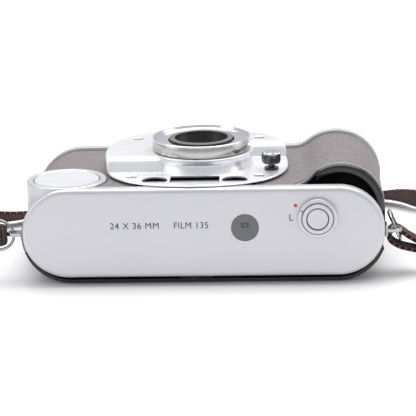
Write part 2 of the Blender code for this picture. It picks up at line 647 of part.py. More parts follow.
def make_lens():
    """Silver ring, fixed housing with the shutter, sliding focus cell and its glass."""
    at = (LENS_X, LENS_Y)
    floor = LENS_RING_FRONT - LENS_RING_DISH
    ring = [
        (LENS_RING_R, LENS_RING_BACK),
        (LENS_RING_R, LENS_RING_FRONT - 0.3),
        (LENS_RING_R - 0.3, LENS_RING_FRONT),
        (LENS_RING_R - 0.9, LENS_RING_FRONT),
        (LENS_RING_R - 1.5, floor),
        (CELL_R + 0.4, floor),
        (CELL_R + 0.4, LENS_RING_BACK),
    ]
    node("lens_ring", turned(ring, at, "Z", 48), SILVER)
    cell_back = CELL_FRONT - CELL_TRAVEL_ROOM
    bore = CELL_R + CLEAR
    housing = [
        (HOUSING_R, HOUSING_BACK),
        (HOUSING_R, BOSS_TOP - 0.3),
        (bore, BOSS_TOP - 0.3),
        (bore, cell_back - 1.0),
        (7.0, cell_back - 1.0),
        (7.0, 22.6),
        (HOUSING_R - 1.2, 22.6),
        (HOUSING_R - 1.2, 20.0),
        (8.0, 20.0),
        (8.0, HOUSING_BACK),
    ]
    node("shutter_housing", turned(housing, at, "Z", 40), BLACK)
    node("rear_element", turned([(0, 15), (7.7, 16), (7.7, 17.6), (0, 18.6)], at, "Z", 28), GLASS)
    cell = [
        (CELL_R, cell_back),
        (CELL_R, CELL_FRONT - 0.5),
        (CELL_R - 0.5, CELL_FRONT),
        (CELL_MOUTH_R + 0.3, CELL_FRONT),
        (CELL_MOUTH_R, CELL_FRONT - 0.4),
        (8.2, CELL_FRONT - 4.0),
        (7.6, CELL_FRONT - 4.0),
        (7.6, cell_back + 2),
        (9.5, cell_back),
    ]
    node("lens_cell", turned(cell, at, "Z", 40), BLACK, (LENS_X, LENS_Y, cell_back))
    rim = CELL_FRONT - 5.6
    glass = [(0, rim - 3.2), (7.3, rim - 2.6), (7.3, rim), (5.0, rim + 1.0), (0, rim + 1.6)]
    node("front_element", turned(glass, at, "Z", 28), GLASS, (LENS_X, LENS_Y, cell_back))
    for side, name, low in ((1, "shutter_blade_a", 20.4), (-1, "shutter_blade_b", 21.3)):
        pivot = (LENS_X + side * BLADE_PIVOT_R, LENS_Y)
        tip_x = LENS_X + side
        outline = arc(tip_x, LENS_Y, BLADE_R, 90 + 90 * (1 - side), 270 + 90 * (1 - side), 12)
        tail = arc(*pivot, 1.4, -90 + 90 * (1 - side), 90 + 90 * (1 - side), 6)
        blade = prism(outline + tail, "Z", low, low + BLADE_THICK)
        node(name, blade, STEEL, (*pivot, low))


def make_timer():
    """Self-timer knob on its stem, with a red lamp ring round the foot."""
    at = (TIMER_X, TIMER_Y)
    knob = [
        (0, TIMER_STEM_BACK),
        (TIMER_STEM_R, TIMER_STEM_BACK),
        (TIMER_STEM_R, TIMER_HEAD_BACK),
        (TIMER_HEAD_R - 0.7, TIMER_HEAD_BACK),
        (TIMER_HEAD_R, TIMER_HEAD_BACK + 0.8),
        (TIMER_HEAD_R, TIMER_HEAD_FRONT - 0.8),
        (TIMER_HEAD_R - 0.9, TIMER_HEAD_FRONT),
        (0, TIMER_HEAD_FRONT),
    ]
    node("timer_knob", turned(knob, at, "Z", 20), CHROME, (*at, TIMER_HEAD_BACK))
    low = PANEL_LOW + CLEAR
    ring = tube(at, "Z", TIMER_LAMP_R, TIMER_STEM_R + CLEAR, low, low + 0.6, 20)
    node("timer_lamp_ring", ring, ((0.25, 0.01, 0.02), 0.2))


def make_flash():
    at = (FLASH_X, FLASH_Y)
    shell = disc(at, "Z", FLASH_R, FLASH_SKIRT_Z, FLASH_FRONT, 48)
    housing = node("flash_housing", shell, SILVER)
    side = box((FLASH_SKIRT_X, 0), (-60, 20), (0, FLASH_FLOOR))
    well = disc(at, "Z", FLASH_GLASS_R + CLEAR, FLASH_FLOOR + 1.0, 50, 40)
    carve(housing, side, well)
    low = FLASH_FLOOR + 1.0 + CLEAR
    high = FLASH_FRONT - 1.2
    bowl = [
        (3.0, low),
        (FLASH_GLASS_R - 1.5, low + 1.2),
        (FLASH_GLASS_R - 0.1, high),
        (FLASH_GLASS_R - 0.9, high),
        (FLASH_GLASS_R - 2.2, low + 1.9),
        (3.0, low + 0.7),
        (0, low + 0.7),
        (0, low),
    ]
    node("flash_reflector", turned(bowl, at, "Z", 32), CHROME)
    glass = disc(at, "Z", FLASH_GLASS_R, high + CLEAR, FLASH_FRONT - 0.1, 40)
    node("flash_window", glass, GLASS)
    lamp = disc((FLASH_Y, low + 2.9), "X", 1.1, FLASH_X - 7, FLASH_X + 7, 12)
    node("flash_tube", lamp, GLASS)
    store = disc((CAPACITOR_X, CAPACITOR_Z), "Y", CAPACITOR_R, -7, BODY_BOTTOM_Y - 0.3, 24)
    node("flash_capacitor", store, ((0.05, 0.06, 0.12), 0.35))


# ---- top, film transport, power -----------------------------------------------------------
def make_release():
    at = (RELEASE_X, RELEASE_Z)
    face = TOP_Y - CLEAR
    top = TOP_Y - RELEASE_PROUD
    button = disc(at, "Y", BUTTON_R, top, TOP_Y + 1.6, 28)
    node("shutter_button", button, SILVER, (RELEASE_X, TOP_Y, RELEASE_Z))
    node("button_collar", tube(at, "Y", COLLAR_R, BUTTON_R + CLEAR, top - CLEAR, face, 32), SILVER)
    lock = tube(at, "Y", LOCK_R, COLLAR_R + CLEAR, top + CLEAR, face, 32)
    node("lock_ring", lock, SILVER, (RELEASE_X, TOP_Y, RELEASE_Z))
    node("lcd_window", disc((LCD_X, LCD_Z), "Y", LCD_R, TOP_Y + 0.1, TOP_Y + 0.9, 28), GLASS)
    board = box((-33.0, 32.0), (TOP_Y + 1.35, TOP_Y + 2.35), (8.0, 31.0))
    node("circuit_board", board, GREEN_BOARD)


def make_transport():
    """Film gate, take-up spool round its motor, sprocket and rewind fork."""
    gate = box(
        (LENS_X - GATE_WIDE / 2 - 0.9, LENS_X + GATE_WIDE / 2 + 0.4),
        (LENS_Y - GATE_HIGH / 2 - 3, LENS_Y + GATE_HIGH / 2 + 3),
        (CORE_BACK - 1.3, CORE_BACK - CLEAR),
    )
    frame = node("film_gate", gate, BLACK)
    window = box(
        (LENS_X - GATE_WIDE / 2, LENS_X + GATE_WIDE / 2 - 0.5),
        (LENS_Y - GATE_HIGH / 2, LENS_Y + GATE_HIGH / 2),
        (0, 10),
    )
    carve(frame, window)
    top = CHAMBER_TOP_Y + 0.8
    end = CHAMBER_BOTTOM_Y - 1.2
    spool = [
        (0, top),
        (SPOOL_R + 3, top),
        (SPOOL_R + 3, top + 1),
        (SPOOL_R, top + 1),
        (SPOOL_R, end),
        (MOTOR_R + CLEAR, end),
        (MOTOR_R + CLEAR, top + 2),
        (0, top + 2),
    ]
    at = (SPOOL_X, SPOOL_Z)
    node("takeup_spool", turned(spool, at, "Y", 24), BLACK, (SPOOL_X, 0, SPOOL_Z))
    node("drive_motor", disc(at, "Y", MOTOR_R, top + 2 + CLEAR, BODY_BOTTOM_Y - 0.2, 20), STEEL)
    reel = [(0, top), (1.6, top), (1.6, -18)]
    reel += [(SPROCKET_R, -17.5), (SPROCKET_R, -16.0), (1.6, -15.5), (1.6, 15.5)]
    reel += [(SPROCKET_R, 16.0), (SPROCKET_R, 17.5), (1.6, 18), (1.6, end), (0, end)]
    at = (SPROCKET_X, SPROCKET_Z)
    node("sprocket", turned(reel, at, "Y", 16), BLACK, (SPROCKET_X, 0, SPROCKET_Z))
    fork = [(0, 20.5), (1.8, 20.5), (1.8, 24.0), (2.5, 24.4), (2.5, 27.6), (0, 27.6)]
    at = (CARTRIDGE_X, CARTRIDGE_Z)
    key = node("rewind_fork", turned(fork, at, "Y", 16), BLACK, (CARTRIDGE_X, 0, CARTRIDGE_Z))
    prong = box((CARTRIDGE_X - 2.8, CARTRIDGE_X + 2.8), (19.8, 23.2), (CARTRIDGE_Z - 0.6, CARTRIDGE_Z + 0.6))
    join(key, prong)


def make_power():
    at = (BATTERY_X, BATTERY_Z)
    end = BATTERY_TOP_Y + BATTERY_LONG
    cell = [
        (0, BATTERY_TOP_Y),
        (BATTERY_R - 0.5, BATTERY_TOP_Y),
        (BATTERY_R, BATTERY_TOP_Y + 0.5),
        (BATTERY_R, end - 1.2),
        (3.0, end - 1.2),
        (3.0, end),
        (0, end),
    ]
    node("battery", turned(cell, at, "Y", 24), ((0.1, 0.12, 0.3), 0.3))
    low = BATTERY_TOP_Y - 2.1
    spring = tube(at, "Y", 3.2, 2.0, low, BATTERY_TOP_Y - CLEAR, 16)
    node("battery_spring", spring, STEEL)
    hinge = (BATTERY_X, BOTTOM_Y, BATTERY_Z - BATTERY_DOOR_Z / 2)
    lid = box(
        (BATTERY_X - BATTERY_DOOR_X / 2, BATTERY_X + BATTERY_DOOR_X / 2),
        (BOTTOM_Y - COVER_WALL, BOTTOM_Y),
        (BATTERY_Z - BATTERY_DOOR_Z / 2, BATTERY_Z + BATTERY_DOOR_Z / 2),
    )
    node("battery_door", lid, SILVER, hinge)
    inner = BOTTOM_Y - COVER_WALL - CLEAR
    node("battery_contact", disc(at, "Y", 3.5, inner - 0.6, inner, 16), STEEL, hinge)
    bush = tube((TRIPOD_X, TRIPOD_Z), "Y", TRIPOD_R, TRIPOD_BORE_R, BODY_BOTTOM_Y - 2, BOTTOM_Y - 0.15, 28)
    node("tripod_bush", bush, BRASS)


# ---- strap, its rings and lugs ------------------------------------------------------------
RIGHT_RING_DOWN = Vector((0.4, 0.0, -0.917)).normalized()
LEFT_RING_DROP = 0.6


def ring_mesh(centre, across, along, steps=28):
    """A strap ring in the plane of two unit vectors, with a flat-sided oval section."""
    normal = across.cross(along)
    mesh = bmesh.new()
    loops = []
    section = arc(0, 0, 1.0, 0, 300, 5)
    for i in range(steps):
        turn = 2 * math.pi * i / steps
        out = across * math.cos(turn) + along * math.sin(turn)
        loop = []
        for u, v in section:
            point = centre + out * (RING_R + u * RING_WIRE) + normal * (v * RING_HALF)
            loop.append(mesh.verts.new(point))
        loops.append(loop)
    for a, b in zip(loops, loops[1:] + loops[:1]):
        for i in range(len(section)):
            k = (i + 1) % len(section)
            mesh.faces.new((a[i], a[k], b[k], b[i]))
    return mesh


def make_lugs():
    for side, name in ((-1, "left"), (1, "right")):
        eye = (side * EYE_X, LUG_Y)
        tip = arc(*eye, 2.3, -90, 90, 10)
        outline = [(side * LUG_ROOT_X, LUG_Y - 2.3)] + [
            (eye[0] + side * (x - eye[0]), y) for x, y in tip
        ]
        outline += [(side * LUG_ROOT_X, LUG_Y + 2.3)]
        low = LUG_Z - LUG_THICK / 2
        lug = node("lug_" + name, prism(outline, "Z", low, low + LUG_THICK), CHROME)
        carve(lug, disc(eye, "Z", 1.45, low - 1, low + LUG_THICK + 1, 20))
    right = Vector((EYE_X, LUG_Y + RING_R, LUG_Z))
    mesh = ring_mesh(right, Vector((0, 1, 0)), RIGHT_RING_DOWN)
    node("ring_right", mesh, CHROME, right)
    left = Vector((-EYE_X - RING_R, LUG_Y, LUG_Z - LEFT_RING_DROP))
    mesh = ring_mesh(left, Vector((1, 0, 0)), Vector((0, 0, 1)))
    node("ring_left", mesh, CHROME, left)


def ribbon(points, thickness):
    """Outline of a strip of even thickness that follows open points in a plane."""
    left, right = [], []
    for i, point in enumerate(points):
        before = Vector(points[max(i - 1, 0)])
        after = Vector(points[min(i + 1, len(points) - 1)])
        d = (after - before).normalized()
        n = Vector((-d.y, d.x)) * (thickness / 2)
        left.append(tuple(Vector(point) + n))
        right.append(tuple(Vector(point) - n))
    return left + right[::-1]


# Side view (x, z) of the loose strap end that passes through the right ring.
RIGHT_LOOP = [
    (79.6, 10.9),
    (77.0, 12.2),
    (74.1, 13.9),
    (71.7, 15.7),
    (70.2, 16.5),
    (68.8, 16.5),
    (67.6, 15.7),
    (67.1, 14.4),
    (67.3, 13.0),
    (68.2, 11.8),
    (69.8, 10.7),
    (71.6, 9.9),
    (74.1, 9.2),
    (78.6, 8.2),
]

# Strap route from the left ring to the right ring: x, y, height of its lower edge, and how
# far it leans from standing on edge (0) to lying flat (90).
STRAP_ROUTE = [
    (-83.6, -26.6, 13.4, 0),
    (-90.0, -24.0, 14.6, 0),
    (-98.0, -14.0, 13.0, 0),
    (-103.5, 2.0, 8.0, 0),
    (-104.5, 18.0, 2.6, 5),
    (-101.0, 32.0, 0.6, 20),
    (-91.0, 43.5, 0.3, 42),
    (-76.0, 50.0, 0.3, 60),
    (-65.0, 63.0, 0.3, 62),
    (-60.5, 82.0, 0.3, 45),
    (-59.0, 100.0, 0.3, 15),
    (-55.5, 113.0, 0.3, 0),
    (-48.0, 123.5, 0.3, 0),
    (-34.0, 131.0, 0.3, 0),
    (-8.0, 134.5, 0.3, 0),
    (18.0, 133.5, 0.3, 0),
    (37.0, 131.5, 0.3, 0),
    (51.0, 123.5, 0.3, 0),
    (55.0, 110.5, 0.3, 0),
    (47.5, 99.5, 0.3, 0),
    (31.0, 96.5, 0.3, 0),
    (4.0, 98.0, 0.3, 0),
    (-20.0, 99.0, 0.3, 0),
    (-35.0, 94.5, 0.3, 0),
    (-41.0, 82.0, 0.3, 0),
    (-34.5, 69.5, 0.3, 0),
    (-20.0, 65.0, 0.3, 5),
    (8.0, 69.0, 0.3, 25),
    (42.0, 77.0, 0.3, 62),
    (70.0, 74.0, 0.3, 60),
    (84.0, 62.5, 0.3, 24),
    (101.0, 52.0, 0.3, 8),
    (114.0, 36.0, 0.3, 0),
    (118.0, 17.0, 0.3, 0),
    (112.0, -2.0, 0.3, 25),
    (101.0, -14.0, 1.2, 60),
    (91.0, -17.6, 4.6, 82),
    (81.4, -18.2, 8.6, 90),
]


def smooth_route(points, spacing):
    """Points about a spacing apart on a Catmull-Rom curve through the route."""
    ends = [points[0]] + list(points) + [points[-1]]
    result = []
    for p0, p1, p2, p3 in zip(ends, ends[1:], ends[2:], ends[3:]):
        span = math.dist(p1[:3], p2[:3])
        pieces = max(1, round(span / spacing))
        for i in range(pieces):
            t = i / pieces
            mix = [
                0.5 * (2 * b + (c - a) * t + (2 * a - 5 * b + 4 * c - d) * t * t
                       + (3 * b - a - 3 * c + d) * t ** 3)
                for a, b, c, d in zip(p0, p1, p2, p3)
            ]
            result.append(mix)
    result.append(list(points[-1]))
    return result


def lifted(point):
    """Middle of the strap's section over its lower edge, for its lean."""
    x, y, low, lean = point
    turn = math.radians(lean)
    rise = (STRAP_WIDE * math.cos(turn) + STRAP_THICK * math.sin(turn)) / 2
    return Vector((x, y, low + rise))


def strap_mesh():
    """The flat strap: a rectangle carried along the route, leaning as the route says."""
    route = smooth_route(STRAP_ROUTE, 9.0)
    middles = [lifted(p) for p in route]
    mesh = bmesh.new()
    loops = []
    for i, point in enumerate(route):
        before = middles[max(i - 1, 0)]
        after = middles[min(i + 1, len(route) - 1)]
        forward = (after - before).normalized()
        side = Vector((forward.y, -forward.x, 0)).normalized()
        lean = math.radians(point[3])
        up = forward.cross(side) * -1
        if up.z < 0:
            up = -up
        wide = up * math.cos(lean) + side * math.sin(lean)
        thick = forward.cross(wide)
        loop = []
        for a, b in ((-1, -1), (1, -1), (1, 1), (-1, 1)):
            corner = middles[i] + wide * (a * STRAP_WIDE / 2) + thick * (b * STRAP_THICK / 2)
            loop.append(mesh.verts.new(corner))
        loops.append(loop)
    for a, b in zip(loops, loops[1:]):
        for i in range(4):
            k = (i + 1) % 4
            mesh.faces.new((a[i], a[k], b[k], b[i]))
    mesh.faces.new(loops[0])
    mesh.faces.new(loops[-1])
    return mesh


def make_strap():
    node("strap_band", strap_mesh(), STRAP_BROWN)
    gap = RING_HALF + 1.0 + STRAP_THICK / 2
    turn_x = -EYE_X - 2 * RING_R + 4.75
    path = [(turn_x - 6.3, LUG_Y + gap)] + arc(turn_x, LUG_Y, gap, 90, -90, 10)
    path += [(turn_x - 6.3, LUG_Y - gap)]
    mid = LUG_Z - LEFT_RING_DROP
    half = STRAP_END_WIDE / 2
    loop = prism(ribbon(path, STRAP_THICK), "Z", mid - half, mid + half)
    node("strap_loop_left", loop, STRAP_BROWN)
    mid = LUG_Y + RING_R + 0.5
    loop = prism(ribbon(RIGHT_LOOP, STRAP_THICK), "Y", mid - half, mid + half)
    node("strap_loop_right", loop, STRAP_BROWN)


def main():
    clear_scene()
    make_covers()
    make_core()
    outer, inner = make_skins()
    make_door(outer, inner)
    make_panel()
    make_windows()
    make_lens()
    make_timer()
    make_flash()
    make_release()
    make_transport()
    make_power()
    make_lugs()
    make_strap()


main()
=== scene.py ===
"""Look of the compact film camera: satin silver covers, mauve leather, bright lens ring, strap.

Lengths are millimetres and MM turns them into metres. +Z is forward along the lens, +X is the
photographer's right and -Y is the camera's top.
"""
import math

import bpy
import numpy as np
from mathutils import Matrix, Vector


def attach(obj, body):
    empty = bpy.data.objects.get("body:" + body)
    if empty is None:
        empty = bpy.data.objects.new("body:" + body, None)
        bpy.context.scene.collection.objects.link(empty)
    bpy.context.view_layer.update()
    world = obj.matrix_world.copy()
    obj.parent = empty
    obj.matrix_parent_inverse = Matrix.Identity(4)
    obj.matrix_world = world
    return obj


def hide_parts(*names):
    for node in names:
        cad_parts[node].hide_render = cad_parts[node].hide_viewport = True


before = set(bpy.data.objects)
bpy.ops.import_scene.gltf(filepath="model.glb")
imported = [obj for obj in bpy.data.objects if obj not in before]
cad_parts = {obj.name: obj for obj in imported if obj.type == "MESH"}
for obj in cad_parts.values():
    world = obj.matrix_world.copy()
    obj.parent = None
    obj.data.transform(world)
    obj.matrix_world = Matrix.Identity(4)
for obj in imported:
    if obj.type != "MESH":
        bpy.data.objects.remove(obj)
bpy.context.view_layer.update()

MM = 0.001
TOP_Y = -33.25
BOTTOM_Y = 33.25


# ---- camera and studio --------------------------------------------------------------------
def set_camera():
    eye = Vector((0.02667, -0.64831, 0.20171))
    ahead = Vector((-0.0385, 0.96203, -0.27023))
    right = Vector((0.99918, 0.03375, -0.02221))
    up = Vector((0.01224, 0.27087, 0.96254))
    lens = bpy.data.cameras.new("studio_camera")
    lens.sensor_width = 36.0
    lens.lens = 155.77
    lens.clip_start = 0.01
    holder = bpy.data.objects.new("studio_camera", lens)
    turn = Matrix((right, up, -ahead)).transposed().to_4x4()
    holder.matrix_world = Matrix.Translation(eye) @ turn
    bpy.context.scene.collection.objects.link(holder)
    bpy.context.scene.camera = holder


def soft_light(name, place, size, watts, target=(0.0, 0.0, 0.02)):
    lamp = bpy.data.lights.new(name, "AREA")
    lamp.shape = "RECTANGLE"
    lamp.size, lamp.size_y = size
    lamp.energy = watts
    holder = bpy.data.objects.new(name, lamp)
    holder.location = place
    aim = Vector(target) - Vector(place)
    holder.rotation_euler = aim.to_track_quat("-Z", "Y").to_euler()
    bpy.context.scene.collection.objects.link(holder)


def set_studio():
    scene = bpy.context.scene
    scene.view_settings.view_transform = "Standard"
    world = bpy.data.worlds.new("studio_air")
    world.use_nodes = True
    scene.world = world
    sky = world.node_tree.nodes["Background"]
    sky.inputs["Color"].default_value = (0.97, 0.975, 1.0, 1.0)
    sky.inputs["Strength"].default_value = 0.62
    soft_light("overhead_box", (0.05, 0.25, 0.95), (1.3, 1.0), 11.5)
    soft_light("left_box", (-0.85, -0.25, 0.45), (0.5, 0.7), 1.6)
    soft_light("right_box", (0.9, 0.1, 0.4), (0.5, 0.7), 1.4)
    floor = bpy.data.meshes.new("studio_floor")
    half = 3.0
    corners = [(-half, -half, -0.0003), (half, -half, -0.0003), (half, half, -0.0003), (-half, half, -0.0003)]
    floor.from_pydata(corners, [], [(0, 1, 2, 3)])
    plane = bpy.data.objects.new("studio_floor", floor)
    look = bpy.data.materials.new("studio_paper")
    look.use_nodes = True
    paper = look.node_tree.nodes["Principled BSDF"]
    paper.inputs["Base Color"].default_value = (0.93, 0.93, 0.935, 1.0)
    paper.inputs["Roughness"].default_value = 0.9
    paper.inputs["Specular IOR Level"].default_value = 0.1
    floor.materials.append(look)
    scene.collection.objects.link(plane)


# ---- meshes -------------------------------------------------------------------------------
def grid_faces(rows, columns, wrap_rows, wrap_columns):
    """Quads between neighbouring points of a rows x columns grid, as an index array."""
    last_row = rows if wrap_rows else rows - 1
    last_column = columns if wrap_columns else columns - 1
    i, j = np.meshgrid(np.arange(last_row), np.arange(last_column), indexing="ij")
    below, beside = (i + 1) % rows, (j + 1) % columns
    quads = np.stack([i * columns + j, i * columns + beside, below * columns + beside, below * columns + j], -1)
    return quads.reshape(-1, 4)


def surface(name, points, wrap_rows=False, body="body", look=None, slot=None, stands_for=(), crease=32, uv=None):
    """A closed skin over a grid of points: every row is a ring, and end rings are capped.

    With wrap_rows the last ring joins the first, so the skin is a torus.
    """
    rows, columns = points.shape[:2]
    faces = grid_faces(rows, columns, wrap_rows, True).tolist()
    if not wrap_rows:
        faces.append(list(range(columns))[::-1])
        faces.append([(rows - 1) * columns + k for k in range(columns)])
    mesh = bpy.data.meshes.new(name)
    mesh.from_pydata((points.reshape(-1, 3) * MM).tolist(), [], faces)
    if signed_volume(mesh) < 0:
        mesh.flip_normals()
    if uv is not None:
        layer = mesh.uv_layers.new(name="weave")
        index = np.empty(len(mesh.loops), int)
        mesh.loops.foreach_get("vertex_index", index)
        layer.data.foreach_set("uv", uv.reshape(-1, 2)[index].ravel())
    return finish_piece(name, mesh, body, look, stands_for, crease)


def signed_volume(mesh):
    """Sum over triangles of a . (b x c) / 6, which is positive when faces point outwards."""
    mesh.calc_loop_triangles()
    corners = np.empty(len(mesh.vertices) * 3)
    mesh.vertices.foreach_get("co", corners)
    corners = corners.reshape(-1, 3)
    index = np.empty(len(mesh.loop_triangles) * 3, int)
    mesh.loop_triangles.foreach_get("vertices", index)
    a, b, c = (corners[index[k::3]] for k in range(3))
    return float(np.einsum("ij,ij->", a, np.cross(b, c))) / 6


def finish_piece(name, mesh, body, look, stands_for, crease=32):
    mesh.shade_smooth()
    if crease:
        mesh.set_sharp_from_angle(angle=math.radians(crease))
    piece = bpy.data.objects.new(name, mesh)
    mesh.materials.append(look)
    bpy.context.scene.collection.objects.link(piece)
    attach(piece, body)
    if stands_for:
        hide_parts(*stands_for)
    return piece


def turned(name, profile, centre, axis="Z", steps=96, flutes=0, depth=0.0, flute_from=0.0, **more):
    """A turned piece: the (radius, distance) profile spun about the axis through the centre.

    Radius may be fluted: r - depth * (0.5 + 0.5 cos(flutes * turn)) where it is past flute_from.
    A profile whose ends are off the axis is closed into a ring.
    """
    profile = np.asarray(profile, float)
    solid = profile[0, 0] < 1e-6
    if solid:
        profile = profile[1:-1]
    turn = np.linspace(0, 2 * np.pi, steps, endpoint=False)
    radius, along = profile[:, :1], profile[:, 1:]
    cut = depth * (0.5 + 0.5 * np.cos(flutes * turn))[None] * (radius > flute_from) if flutes else 0.0
    radius = radius - cut
    u = centre[0] + radius * np.cos(turn)
    v = centre[1] + radius * np.sin(turn)
    w = along + 0 * turn
    order = {"X": (w, u, v), "Y": (u, w, v), "Z": (u, v, w)}[axis]
    return surface(name, np.stack(order, -1), wrap_rows=not solid, **more)


def arc(x, z, radius, start, end, steps):
    """Points of an arc: centre plus radius times cosine and sine of evenly spaced angles."""
    turn = np.radians(np.linspace(start, end, steps))
    return np.stack([x + radius * np.cos(turn), z + radius * np.sin(turn)], -1)


def straight(a, b, steps):
    share = np.linspace(0, 1, steps)[:, None]
    return np.asarray(a) * (1 - share) + np.asarray(b) * share


def cutter(name, points, wrap_rows=False):
    """A hidden closed skin that a Boolean takes away."""
    rows, columns = points.shape[:2]
    faces = grid_faces(rows, columns, wrap_rows, True).tolist()
    faces += [list(range(columns))[::-1], [(rows - 1) * columns + k for k in range(columns)]]
    mesh = bpy.data.meshes.new(name)
    mesh.from_pydata((points.reshape(-1, 3) * MM).tolist(), [], faces)
    if signed_volume(mesh) < 0:
        mesh.flip_normals()
    piece = bpy.data.objects.new(name, mesh)
    bpy.context.scene.collection.objects.link(piece)
    return piece


def column(outline, axis, low, high):
    """Two rings of a straight column over a closed outline."""
    rings = []
    for along in (low, high):
        w = np.full(len(outline), float(along))
        u, v = outline[:, 0], outline[:, 1]
        rings.append(np.stack({"X": (w, u, v), "Y": (u, w, v), "Z": (u, v, w)}[axis], -1))
    return np.stack(rings)


def circle(centre, radius, steps=64):
    return arc(*centre, radius, 0, 360 * (1 - 1 / steps), steps)


def cut(piece, tools):
    """Take the tools' shapes out of a piece and apply the result to its mesh."""
    for tool in tools:
        change = piece.modifiers.new("cut", "BOOLEAN")
        change.operation, change.solver, change.object = "DIFFERENCE", "EXACT", tool
    graph = bpy.context.evaluated_depsgraph_get()
    graph.update()
    result = bpy.data.meshes.new_from_object(piece.evaluated_get(graph))
    piece.modifiers.clear()
    old = piece.data
    piece.data = result
    bpy.data.meshes.remove(old)
    result.shade_smooth()
    result.set_sharp_from_angle(angle=math.radians(32))
    for tool in tools:
        bpy.data.objects.remove(tool, do_unlink=True)


# ---- materials ----------------------------------------------------------------------------
def new_group(name, inputs, outputs):
    """A shader node group with named number inputs; outputs are numbers or colours."""
    group = bpy.data.node_groups.new(name, "ShaderNodeTree")
    for title, value in inputs:
        kind = "NodeSocketVector" if value is None else "NodeSocketFloat"
        socket = group.interface.new_socket(title, in_out="INPUT", socket_type=kind)
        if value is not None:
            socket.default_value = value
    for title in outputs:
        group.interface.new_socket(title, in_out="OUTPUT", socket_type="NodeSocketFloat")
    start = group.nodes.new("NodeGroupInput")
    end = group.nodes.new("NodeGroupOutput")
    return group, start, end


def number(tree, operation, a, b=None):
    """A Math node; a and b are sockets or plain numbers."""
    step = tree.nodes.new("ShaderNodeMath")
    step.operation = operation
    for socket, value in zip(step.inputs, (a, b)):
        if value is None:
            continue
        if isinstance(value, (int, float)):
            socket.default_value = value
        else:
            tree.links.new(value, socket)
    return step.outputs[0]


def make_grain():
    """Fine surface grain: two sizes of noise, a fine one for bump and a wide one for drift."""
    group, start, end = new_group("fine_grain", [("Scale", 3000.0), ("Drift", 60.0)], ["Height", "Drift"])
    place = group.nodes.new("ShaderNodeTexCoord")
    for title, source in (("Height", "Scale"), ("Drift", "Drift")):
        noise = group.nodes.new("ShaderNodeTexNoise")
        noise.inputs["Detail"].default_value = 4.0
        noise.inputs["Roughness"].default_value = 0.6
        group.links.new(place.outputs["Object"], noise.inputs["Vector"])
        group.links.new(start.outputs[source], noise.inputs["Scale"])
        group.links.new(noise.outputs["Fac"], end.inputs[title])
    return group


def make_pebble():
    """Leather grain: rounded cells with soft valleys, and small specks of colour."""
    group, start, end = new_group("leather_pebble", [("Scale", 1500.0)], ["Height", "Speck"])
    place = group.nodes.new("ShaderNodeTexCoord")
    warp = group.nodes.new("ShaderNodeTexNoise")
    warp.inputs["Scale"].default_value = 700.0
    group.links.new(place.outputs["Object"], warp.inputs["Vector"])
    bend = group.nodes.new("ShaderNodeVectorMath")
    bend.operation = "SCALE"
    group.links.new(warp.outputs["Color"], bend.inputs[0])
    bend.inputs["Scale"].default_value = 0.0006
    add = group.nodes.new("ShaderNodeVectorMath")
    group.links.new(place.outputs["Object"], add.inputs[0])
    group.links.new(bend.outputs[0], add.inputs[1])
    cells = group.nodes.new("ShaderNodeTexVoronoi")
    cells.feature = "SMOOTH_F1"
    cells.inputs["Smoothness"].default_value = 0.5
    group.links.new(add.outputs[0], cells.inputs["Vector"])
    group.links.new(start.outputs["Scale"], cells.inputs["Scale"])
    group.links.new(number(group, "SUBTRACT", 1.0, cells.outputs["Distance"]), end.inputs["Height"])
    speck = group.nodes.new("ShaderNodeTexNoise")
    speck.inputs["Detail"].default_value = 5.0
    speck.inputs["Roughness"].default_value = 0.75
    group.links.new(place.outputs["Object"], speck.inputs["Vector"])
    group.links.new(start.outputs["Scale"], speck.inputs["Scale"])
    group.links.new(speck.outputs["Fac"], end.inputs["Speck"])
    return group


def make_webbing():
    """Woven webbing on the strap's own map: cross ribs, rows along it and painted highlight dots.

    Height is |sin(pi u / rib)| * |sin(pi v / row)| with every second rib shifted half a row.
    """
    inputs = [("Weave", None), ("Rib", 1.15), ("Row", 1.0)]
    group, start, end = new_group("webbing", inputs, ["Height", "Dot"])
    split = group.nodes.new("ShaderNodeSeparateXYZ")
    group.links.new(start.outputs["Weave"], split.inputs[0])
    along = number(group, "DIVIDE", split.outputs[0], start.outputs["Rib"])
    across = number(group, "DIVIDE", split.outputs[1], start.outputs["Row"])
    shift = number(group, "MULTIPLY", number(group, "MODULO", number(group, "FLOOR", along), 2.0), 0.5)
    rib = number(group, "ABSOLUTE", number(group, "SINE", number(group, "MULTIPLY", along, math.pi)))
    moved = number(group, "ADD", across, shift)
    row = number(group, "ABSOLUTE", number(group, "SINE", number(group, "MULTIPLY", moved, math.pi)))
    height = number(group, "MULTIPLY", number(group, "POWER", rib, 0.6), number(group, "POWER", row, 0.6))
    group.links.new(height, end.inputs["Height"])
    # Height to the fifth power: painted highlight dots on the tops of the weave.
    group.links.new(number(group, "POWER", height, 5.0), end.inputs["Dot"])
    return group


GRAIN = make_grain()
PEBBLE = make_pebble()
WEBBING = make_webbing()


def principled(name, roughness, metallic=0.0, specular=0.5, coat=0.0, transmission=0.0):
    look = bpy.data.materials.new(name)
    look.use_nodes = True
    tree = look.node_tree
    shader = tree.nodes["Principled BSDF"]
    shader.inputs["Roughness"].default_value = roughness
    shader.inputs["Metallic"].default_value = metallic
    shader.inputs["Specular IOR Level"].default_value = specular
    shader.inputs["Coat Weight"].default_value = coat
    shader.inputs["Transmission Weight"].default_value = transmission
    return look, tree, shader


def use_group(tree, group, **values):
    holder = tree.nodes.new("ShaderNodeGroup")
    holder.node_tree = group
    for title, value in values.items():
        holder.inputs[title].default_value = value
    return holder


def blend_colours(tree, mask, first, second):
    mix = tree.nodes.new("ShaderNodeMix")
    mix.data_type = "RGBA"
    tree.links.new(mask, mix.inputs["Factor"])
    mix.inputs["A"].default_value = (*first, 1.0)
    mix.inputs["B"].default_value = (*second, 1.0)
    return mix.outputs["Result"]


